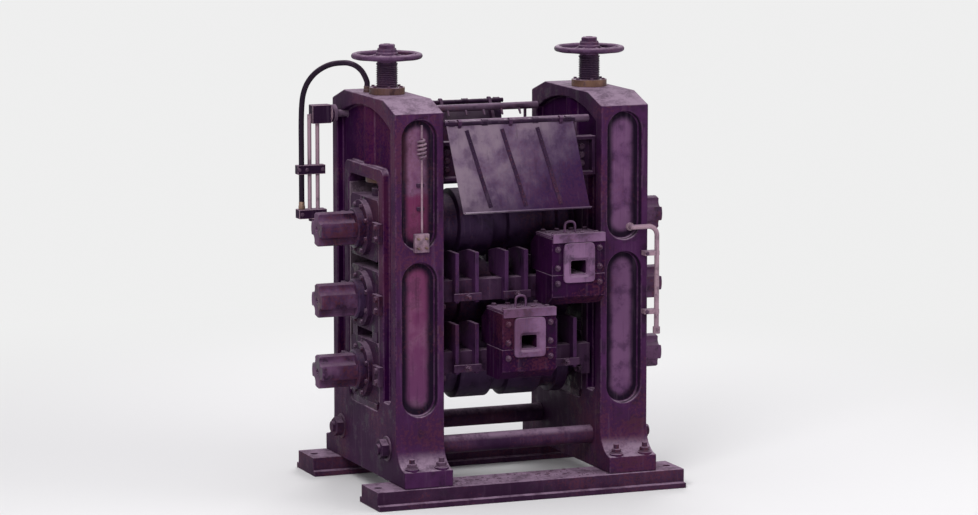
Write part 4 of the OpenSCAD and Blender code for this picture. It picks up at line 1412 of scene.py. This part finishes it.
@dataclass
class Guards:
    """Sloping sheet guards that hang from rods on arms of the separators."""

    place: Layout
    width: float = 0.865
    edge_gap: float = 0.005
    thick: float = 0.006
    lip: float = 0.036
    lip_foot: float = 0.012
    lip_heights: tuple[float, float] = (1.800, 1.900)
    bend_r: float = 0.011
    bend: float = math.radians(102)
    slope_run: float = 0.120
    slope_drop: float = 0.550
    off: float = 0.030
    seams: tuple[float, ...] = (0.125, 0.365, 0.605)
    seam_ends: tuple[float, float] = (0.035, 0.530)
    rivet_ends: tuple[float, float] = (0.060, 0.510)
    rivets: int = 9
    seam_slant: float = math.radians(14)
    side_slant: float = math.radians(7)
    rod_r: float = 0.015
    rod_out: float = 0.616
    rod_up: float = 0.011
    rod_past: float = 0.012
    arm_t: float = 0.022
    arm_top: float = 2.290
    arm_root: float = 0.500
    arms: tuple[float, ...] = (0.1, 0.5, 0.9)
    eyes: tuple[float, ...] = (0.04, 0.3, 0.7, 0.96)
    dents: tuple[tuple[float, ...], ...] = (
        (-0.38, 0.36, 0.07, -0.005), (-0.05, 0.20, 0.09, -0.004), (0.18, 0.42, 0.06, -0.006),
        (-0.22, 0.47, 0.05, 0.004))

    def build(self) -> None:
        """Build the guards at the front and the rear."""
        for end in End:
            self.one_guard(end)

    def on_sheet(self, x: np.ndarray, s: np.ndarray, lift: np.ndarray | float) -> np.ndarray:
        """Give the point at a place along the rolls, a distance down the slope and a height off the sheet.

        The sheet itself stands out by slow waves and by its dents, each its depth times
        exp(-d^2 / w^2), with d the distance from its middle and w its width.

        Args:
            x: Places along the rolls.
            s: Distances down the slope.
            lift: Height outwards from the sheet's outer face.

        Returns:
            The points, for the front guard.
        """
        stand = lift + 0.0022 * np.sin(7.3 * x + 1.0) * np.sin(5.1 * s + 0.6)
        stand = stand + 0.0012 * np.sin(19 * x + 9 * s)
        for centre_x, centre_s, width, depth in self.dents:
            stand = stand + depth * np.exp(-((x - centre_x) ** 2 + (s - centre_s) ** 2) / width ** 2)
        length = math.hypot(self.slope_run, self.slope_drop)
        run, drop = self.slope_run / length, self.slope_drop / length
        return np.stack([x, -self.place.face - self.off - s * run - stand * drop,
                         self.place.top - self.place.guard_drop - s * drop + stand * run], -1)

    def sheet(self, left: float, right: float) -> Shape:
        """Draw the sheet: a closed section down its outer face, round the lip and up its inner face,
        carried from side to side and leaning with the distance down the slope.

        Args:
            left: Left edge.
            right: Right edge.

        Returns:
            The sheet with its bent lip.
        """
        length, straight = math.hypot(self.slope_run, self.slope_drop), 46
        start, rest = length - self.lip_foot, self.lip - self.lip_foot
        turn = np.linspace(0, 1, 7)[1:] * self.bend
        round_s, round_l = start + self.bend_r * np.sin(turn), self.bend_r * (1 - np.cos(turn))
        outer_s = np.concatenate([np.linspace(0, start, straight), round_s,
                                  [round_s[-1] + rest * math.cos(self.bend)]])
        outer_l = np.concatenate([np.zeros(straight), round_l, [round_l[-1] + rest * math.sin(self.bend)]])
        step = np.stack([np.gradient(outer_s), np.gradient(outer_l)], -1)
        step /= np.linalg.norm(step, axis=1)[:, None]
        loop_s = np.concatenate([outer_s, (outer_s + self.thick * step[:, 1])[::-1]])
        loop_l = np.concatenate([outer_l, (outer_l - self.thick * step[:, 0])[::-1]])
        lean = np.minimum(loop_s, length) * math.tan(self.side_slant)
        grid_x = np.linspace(left, right, 72)[:, None] + lean
        return skin(self.on_sheet(grid_x, loop_s + 0 * grid_x, loop_l))

    def strap(self, x: float) -> Shape:
        """Draw a seam strap that follows the sheet, slanting, with a crowned section.

        Args:
            x: Place of its upper end.

        Returns:
            The strap.
        """
        s = np.linspace(*self.seam_ends, 40)[:, None]
        across = np.array([-0.013, -0.012, -0.009, 0.009, 0.012, 0.013, 0.013, -0.013])
        lift = np.array([0.0015, 0.0050, 0.0062, 0.0062, 0.0050, 0.0015, -0.002, -0.002])
        grid_x = x + s * math.tan(self.seam_slant) + across * math.cos(self.seam_slant)
        return skin(self.on_sheet(grid_x, s - across * math.sin(self.seam_slant), lift))

    def one_guard(self, end: End) -> None:
        """Build one guard: sheet, seam straps with rivets, rod, arms and hinge straps.

        Each piece is drawn for the front, and the rear's is mirrored; the welding turns it outwards.

        Args:
            end: The end that it hangs at.
        """
        left = self.edge_gap - self.place.inner
        right = left + self.width
        rod_z = self.place.top - self.place.guard_drop + self.rod_up
        xs = [left + first for first in self.seams]
        s = np.linspace(*self.rivet_ends, self.rivets)
        head = turned([(0, -0.001), (0.0055, 0), (0.0048, 0.0022), (0.0025, 0.0036), (0, 0.004)], 10)
        out = (0, -self.slope_drop, self.slope_run)
        rivets = [placed(head, self.on_sheet(x + s * math.tan(self.seam_slant), s, 0.006), out) for x in xs]
        rod = np.array([[left - self.rod_past, -self.rod_out, rod_z],
                        [(left + right) / 2, -self.rod_out, rod_z - 0.001],
                        [right + self.rod_past, -self.rod_out, rod_z]])
        arms = [self.arm(left + self.width * share, rod_z) for share in self.arms]
        eyes = [self.eye(left + self.width * share, rod_z) for share in self.eyes]
        low_y, high_y = span(end.value, self.place.face + self.off + self.slope_run + 0.002, 0.9)
        low_z, high_z = self.lip_heights
        # The lip takes the paler finish of its painted highlight.
        lip = Region((-1.0, low_y, low_z), (1.0, high_y, high_z), GUARD_LIP_HIGHLIGHT)
        for part, shape, finish, edge in (
                ("sheet", self.sheet(left, right), GUARD_SHEET, 0.0),
                ("seams", joined([self.strap(x) for x in xs]), GUARD_SEAM, 0.0),
                ("rivets", joined(rivets), GUARD_SEAM, 0.0),
                ("rod", swept(rod, self.rod_r, 24), SCREW_STEEL, 0.0),
                ("arms", joined(arms), BEAM_STEEL, 0.003), ("eyes", joined(eyes), SCREW_STEEL, 0.0)):
            shape = Shape(shape.points * (1, -end.value, 1), shape.faces)
            sheet = part == "sheet"
            build("guard_%s_%s" % (part, end.title), shape, finish, edge,
                  regions=[lip] if sheet else [], node="roll_guard_" + end.title if sheet else "")

    def arm(self, x: float, z: float) -> Shape:
        """Draw the flat arm that reaches from the separator to the rod.

        Args:
            x: Its place along the rolls.
            z: Height of the rod.

        Returns:
            The arm.
        """
        back, top, y = -self.arm_root, self.arm_top, -self.rod_out
        outline = [(back, top - 0.09), (back, top - 0.01), (y + 0.012, z + 0.024), (y - 0.012, z + 0.026),
                   (y - 0.024, z + 0.012), (y - 0.024, z - 0.012), (y - 0.010, z - 0.026)]
        return prism(outline, x - self.arm_t / 2, self.arm_t)

    def eye(self, x: float, z: float) -> Shape:
        """Draw a hinge strap: a flat bar wound round the rod, its section carried round a circle.

        Args:
            x: Its place along the rolls.
            z: Height of the rod.

        Returns:
            The strap.
        """
        angle = np.linspace(-0.65 * math.pi, 0.95 * math.pi, 22)[:, None]
        wide, reach = np.array([[-0.02, 0.016], [0.02, 0.016], [0.02, 0.021], [-0.02, 0.021]]).T
        return skin(np.stack([x + wide + 0 * angle, reach * np.cos(angle) - self.rod_out,
                              z + reach * np.sin(angle)], -1))


@dataclass
class Water:
    """Spray headers, riser, hose and the pipe on the right-hand post."""

    place: Layout
    bolt: float = 0.012
    flange_t: float = 0.020
    flange_ring: float = 0.043
    hose_r: float = 0.018
    cord_pitch: float = 0.011
    sides: int = 24
    route: tuple[Point, ...] = (
        (-790, 140, 2602), (-790, 140, 2624), (-797, 146, 2650), (-816, 162, 2693), (-846, 186, 2726),
        (-882, 217, 2743), (-917, 246, 2745), (-974, 293, 2735), (-1027, 338, 2706), (-1073, 376, 2661),
        (-1108, 405, 2601), (-1128, 422, 2532), (-1136, 429, 2457), (-1139, 431, 2370), (-1140, 431, 2280),
        (-1140, 430, 2190), (-1140, 430, 2100), (-1140, 430, 1980), (-1140, 430, 1900), (-1140, 430, 1830))

    def build(self) -> None:
        """Build the pipes first and then the hose between its fittings."""
        for end in End:
            casting("spray_header_" + end.title, PIPE_STEEL, 0.0012)
        low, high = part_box("water_riser")
        top = self.place.window_top
        clamps = [Region((low.x - 0.01, low.y - 0.01, z0), (high.x + 0.01, high.y + 0.01, z1), CLAMP_IRON)
                  for z0, z1 in ((low.z - 0.01, low.z + 0.085), (top - 0.025, top + 0.045),
                                 (high.z - 0.115, high.z + 0.01))]
        casting("water_riser", PIPE_PALE, 0.003, regions=clamps)
        casting("post_pipe", PIPE_PALE, 0.0015)
        self.bolts()
        self.hose()

    def bolts(self) -> None:
        """Build the bolts of the flange, the clamp, the inlet block and the post pipe's clips."""
        p = self.place
        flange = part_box("spray_header_rear")[0].x - self.flange_t
        ring = circle_spots((flange, p.header_y, p.header_z), self.flange_ring, 4, 0, math.pi / 4)
        bolts("riser_flange_bolts", self.bolt, ring, (-1, 0, 0), 0.4)
        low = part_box("water_riser")[0]
        heights = [p.passes[PassLine.LOW] + 0.135, p.passes[PassLine.HIGH] + 0.055]
        for name, xs, y, zs in (
                ("riser_clamp", [-1.165, -1.112, -1.005], p.header_y - 0.030, [p.window_top + 0.010]),
                ("inlet_block", [low.x + 0.025, -0.99], p.header_y - 0.040, [low.z + 0.050]),
                ("post_pipe", [p.outer - 0.030], -p.face - 0.062, heights)):
            bolts(name + "_bolts", self.bolt, spots(xs, [y], zs), (0, -1, 0), 0.6)

    def hose(self) -> None:
        """Build the hose along its route, wound with cord, and its ferrules."""
        centre = smooth_path([(x / 1000, y / 1000, z / 1000) for x, y, z in self.route], 6)
        shape = swept(centre, self.hose_r, self.sides)
        length = float(np.linalg.norm(np.diff(centre, axis=0), axis=1).sum())
        mesh = bpy.data.meshes.new("hose_wound")
        mesh.from_pydata(shape.points, [], shape.faces)
        self.unroll(mesh, len(centre), length)
        piece = finish_piece("hose_wound", mesh, HOSE_RUBBER)
        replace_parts(piece, "hose")
        (x0, y0, top), (x1, y1, end) = centre[0], centre[-1]
        seat, low = self.place.top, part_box("hose_fittings")[0].z
        upper = turned([(0, seat), (0.022, seat), (0.024, seat + 0.004), (0.024, seat + 0.018),
                        (0.0215, seat + 0.020), (0.0215, top - 0.002), (0.019, top), (0, top)], 28)
        lower = turned([(0, low), (0.0205, low), (0.022, low + 0.004), (0.022, low + 0.024),
                        (0.0195, low + 0.026), (0.0195, end - 0.002), (0.0185, end), (0, end)], 28)
        fittings = build("hose_ferrules", joined([upper.moved((x0, y0, 0)), lower.moved((x1, y1, 0))]),
                         FITTING_BRASS, node="hose_fittings")

    def unroll(self, mesh: bpy.types.Mesh, rows: int, length: float) -> None:
        """Lay the hose flat: u counts the cord's turns along it and v runs once round it.

        Args:
            mesh: The hose.
            rows: Rings along it.
            length: Its length in metres.
        """
        layer = mesh.uv_layers.new(name="along")
        corner = np.zeros(len(mesh.loops), np.int32)
        mesh.loops.foreach_get("vertex_index", corner)
        u = (corner // self.sides) / (rows - 1) * length / self.cord_pitch
        v = (corner % self.sides) / self.sides
        layer.data.foreach_set("uv", np.stack([u, v], -1).astype(np.float32).ravel())


@dataclass
class Grease:
    """The coiled grease line in the left post's upper recess, and the block that it feeds."""

    place: Layout
    recess_depth: float = 0.050
    line_off: float = 0.036
    line_right: float = 0.020
    pipe_r: float = 0.007
    coil_r: float = 0.027
    coil_turns: int = 5
    coil_pitch: float = 0.026
    coil_top: float = 2.330
    clips: tuple[float, ...] = (2.030, 1.880)
    block_z: float = 1.610
    block_h: float = 0.120

    def build(self) -> None:
        """Build the line, its clips and the block on the front of the left post."""
        x, face = -self.place.side, -self.place.face
        floor = face + self.recess_depth
        line = self.line(x + self.line_right, floor - self.line_off)
        build("grease_coil", swept(line, self.pipe_r, 12), PIPE_PALE)
        clips = [block((x - 0.004, floor - 0.016, z - 0.012), (x + 0.044, floor + 0.001, z + 0.012))
                 for z in self.clips]
        build("grease_clips", joined(clips), BAR_STEEL, 0.002)
        low, high = self.block_z, self.block_z + self.block_h
        body = block((x - 0.045, face - 0.030, low), (x + 0.055, face + LAP, high))
        build("grease_block", body, PIPE_PALE, 0.004)
        ends = spots([x - 0.022, x + 0.032], [face - 0.030], [low + 0.03, high - 0.03])
        unit = turned([(0, 0), (0.009, 0), (0.009, 0.012), (0.006, 0.014), (0.006, 0.026), (0.004, 0.030),
                       (0, 0.030)], 12)
        build("grease_nipples", placed(unit, ends, (0, -1, 0)), FITTING_BRASS)

    def line(self, x: float, y: float) -> np.ndarray:
        """Draw the line's centre: straight down, a coil of points (r cos a, r sin a) that sinks by its
        pitch each turn, and straight down again to the block.

        Args:
            x: Place of the line along the rolls.
            y: Its place in front of the recess.

        Returns:
            The centreline.
        """
        angle = np.linspace(0, 2 * np.pi * self.coil_turns, 24 * self.coil_turns)
        wide = self.coil_r * np.clip(np.minimum(angle, angle[-1] - angle) / np.pi, 0, 1)
        sink = self.coil_top - self.coil_pitch * angle / (2 * np.pi)
        coil = np.stack([x + wide * np.sin(angle), y + 0.6 * wide * np.cos(angle), sink], -1)
        above = np.linspace(self.coil_top + 0.085, self.coil_top + 0.01, 6)
        below = np.linspace(sink[-1] - 0.01, self.block_z + self.block_h - 0.01, 16)
        return np.vstack([spots([x], [y], above), coil, spots([x], [y], below)])


@dataclass
class Scale:
    """Flakes of mill scale that have settled on whatever lies flat under the passes."""

    place: Layout
    seed: int = 11
    corners: int = 6
    half: float = 0.130
    bars: tuple[float, float] = (0.340, 0.410)
    covers: tuple[float, float] = (0.440, 0.660)
    toes: tuple[float, float] = (0.620, 0.740)

    def build(self) -> None:
        """Scatter the flakes over the bedplates, the toes, the guides and the rest bars."""
        chance = np.random.default_rng(self.seed)
        p = self.place
        between, low_pass, high_pass = (-p.inner, p.inner), p.passes[PassLine.LOW], p.passes[PassLine.HIGH]
        for end in End:
            sign = end.value
            middle = sum(corner.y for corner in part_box("bedplate_" + end.title)) / 2
            bars, covers, toes = span(sign, *self.bars), span(sign, *self.covers), span(sign, *self.toes)
            half = self.half
            areas = [(between, (middle - half, middle + half), p.bed, 150),
                     (between, bars, low_pass - p.rest_drop, 26),
                     (between, bars, high_pass - p.rest_drop, 22),
                     ((0.17, 0.51), covers, high_pass + p.cover_top, 26),
                     ((-0.17, 0.17), covers, low_pass + p.cover_top, 30)]
            areas += [((x * p.side - half, x * p.side + half), toes, p.bed + p.toe_t, 18) for x in (-1, 1)]
            flakes = [self.flakes(chance, *area) for area in areas]
            build("scale_flakes_" + end.title, joined(flakes), SCALE_FLAKE)

    def flakes(self, chance: np.random.Generator, x: Sequence[float], y: Sequence[float], z: float,
               count: int) -> Shape:
        """Draw thin flakes with uneven corners: corner k lies at its own radius in the direction a_k, once
        on the ground and once a little higher and nearer the middle, and both rings are filled.

        Args:
            chance: Source of the uneven sizes and places.
            x: Span along the rolls.
            y: Span across.
            z: Height of the surface that they lie on.
            count: Number of flakes.

        Returns:
            All flakes as one shape.
        """
        n = self.corners
        centre = np.stack([chance.uniform(*x, count), chance.uniform(*y, count), np.full(count, z)], -1)
        size = 0.004 + 0.016 * chance.random(count) ** 2.5
        angle = np.linspace(0, 2 * np.pi, n, endpoint=False) + chance.uniform(0, 6, (count, 1))
        reach = size[:, None] * chance.uniform(0.55, 1.0, (count, n))
        ring = np.stack([reach * np.cos(angle), reach * np.sin(angle) * 0.75, 0 * reach], -1)
        thick = np.stack([0 * size, 0 * size, 0.0012 + 0.12 * size], -1)[:, None, :]
        low = centre[:, None, :] + ring - (0, 0, 0.0004)
        high = centre[:, None, :] + 0.85 * ring + thick
        faces = [list(range(n))[::-1], list(range(n, 2 * n))]
        faces += [[k, (k + 1) % n, n + (k + 1) % n, n + k] for k in range(n)]
        return joined([Shape(points, faces) for points in np.concatenate([low, high], axis=1)])


@dataclass
class Studio:
    """The plain floor, the soft light and the camera."""

    stand_off: Point = (-9.75, -24.54, 5.27)
    frame_height: float = 3.36
    aspect: float = 978 / 515
    pale: float = 0.86
    sky_strength: float = 0.64
    floor_half: float = 60.0
    shadow_ends: tuple[float, float] = (2.2, 7.5)
    lamps: tuple[tuple[str, Point, float, float], ...] = (
        ("key", (-4.5, -6.0, 6.5), 450, 3.5), ("fill", (6.0, -4.0, 3.5), 140, 4.0),
        ("rim", (3.0, 6.5, 5.5), 240, 3.5))

    def build(self) -> None:
        """Build the floor, the lights and the camera."""
        self.floor()
        self.sky()
        self.lights()
        self.camera()

    def plain_rays(self, tree: bpy.types.NodeTree) -> Socket:
        """Give 1 for the rays that see the plain background: the camera's, and those from metal and glass.

        Args:
            tree: The node tree.

        Returns:
            The value.
        """
        path = tree.nodes.new("ShaderNodeLightPath")
        found = path.outputs["Is Camera Ray"]
        for name in ("Is Glossy Ray", "Is Transmission Ray"):
            either = tree.nodes.new("ShaderNodeMath")
            either.operation = "MAXIMUM"
            tree.links.new(found, either.inputs[0])
            tree.links.new(path.outputs[name], either.inputs[1])
            found = either.outputs[0]
        return found

    def show(self, tree: bpy.types.NodeTree, share: Socket, lit: bpy.types.Node, plain: bpy.types.Node,
             output: str) -> None:
        """Mix a lit and a plain shader into a tree's output.

        Args:
            tree: The node tree.
            share: How much of the plain shader shows.
            lit: The shader that takes or gives the light.
            plain: The plain shader.
            output: Name of the output node.
        """
        mixed = tree.nodes.new("ShaderNodeMixShader")
        tree.links.new(share, mixed.inputs[0])
        tree.links.new(lit.outputs[0], mixed.inputs[1])
        tree.links.new(plain.outputs[0], mixed.inputs[2])
        tree.links.new(mixed.outputs[0], tree.nodes[output].inputs["Surface"])

    def floor(self) -> None:
        """Build a wide pale floor under the bedplates, which keeps the shadow near the stand and turns
        into the plain background farther out."""
        reach = self.floor_half
        mesh = bpy.data.meshes.new("floor")
        mesh.from_pydata([(-reach, -reach, 0), (reach, -reach, 0), (reach, reach, 0), (-reach, reach, 0)], [],
                         [(0, 1, 2, 3)])
        floor = stand_in("floor", mesh)
        graph = Graph("pale_floor")
        graph.shader.inputs["Base Color"].default_value = (0.80, 0.79, 0.80, 1)
        graph.shader.inputs["Roughness"].default_value = 0.9
        glow = graph.add("ShaderNodeEmission", Strength=1.0)
        glow.inputs["Color"].default_value = (self.pale, self.pale, self.pale, 1)
        away = graph.tree.nodes.new("ShaderNodeVectorMath")
        away.operation = "LENGTH"
        graph.feed(away.inputs[0], graph.place)
        seen = graph.times(graph.band(away.outputs["Value"], *self.shadow_ends), self.plain_rays(graph.tree))
        self.show(graph.tree, seen, graph.shader, glow, "Material Output")
        mesh.materials.append(graph.material)

    def sky(self) -> None:
        """Light the stand with a soft sky, and show the camera and the metal an even pale background."""
        world = bpy.data.worlds.new("soft_sky")
        bpy.context.scene.world = world
        world.use_nodes = True
        tree = world.node_tree
        soft, plain = tree.nodes["Background"], tree.nodes.new("ShaderNodeBackground")
        for shader, colour, strength in ((soft, (0.93, 0.93, 0.95, 1), self.sky_strength),
                                         (plain, (self.pale, self.pale, self.pale, 1), 1.0)):
            shader.inputs["Color"].default_value = colour
            shader.inputs["Strength"].default_value = strength
        self.show(tree, self.plain_rays(tree), soft, plain, "World Output")

    def lights(self) -> None:
        """Add three wide lamps to the sky, at a level that keeps colours as written."""
        for name, spot, power, size in self.lamps:
            lamp = bpy.data.lights.new(name, "AREA")
            lamp.energy = power
            lamp.size = size
            self.aim(stand_in(name, lamp), spot, Vector((0, 0, 1.3)))

    def camera(self) -> None:
        """Stand the camera where the photograph was taken from, with a lens that fills the frame."""
        target = (CAD_BOX[0] + CAD_BOX[1]) / 2 + Vector((0, 0, 0.02))
        lens = bpy.data.cameras.new("camera")
        holder = stand_in("camera", lens)
        lens.sensor_width = 36
        lens.lens = 36 * self.aim(holder, self.stand_off, target) / (self.frame_height * self.aspect)
        lens.clip_end = 200
        bpy.context.scene.camera = holder

    def aim(self, holder: bpy.types.Object, spot: Point, target: Vector) -> float:
        """Stand a lamp or the camera at a spot and turn it to a target.

        Args:
            holder: The lamp or camera.
            spot: Where it stands.
            target: What it looks at.

        Returns:
            The distance between them.
        """
        holder.location = spot
        away = target - Vector(spot)
        holder.rotation_euler = away.to_track_quat("-Z", "Y").to_euler()
        return away.length


def main() -> None:
    """Build the studio and every sub-assembly in order."""
    logging.basicConfig(level=logging.INFO, format="%(name)s: %(message)s")
    bpy.context.scene.view_settings.view_transform = "Standard"
    Studio().build()
    place = Layout.read()
    for assembly in (Water, Housings, Chocks, Rolls, Screws, Beams, Guides, Guards, Grease, Scale):
        assembly(place).build()


if __name__ == "__main__":
    main()
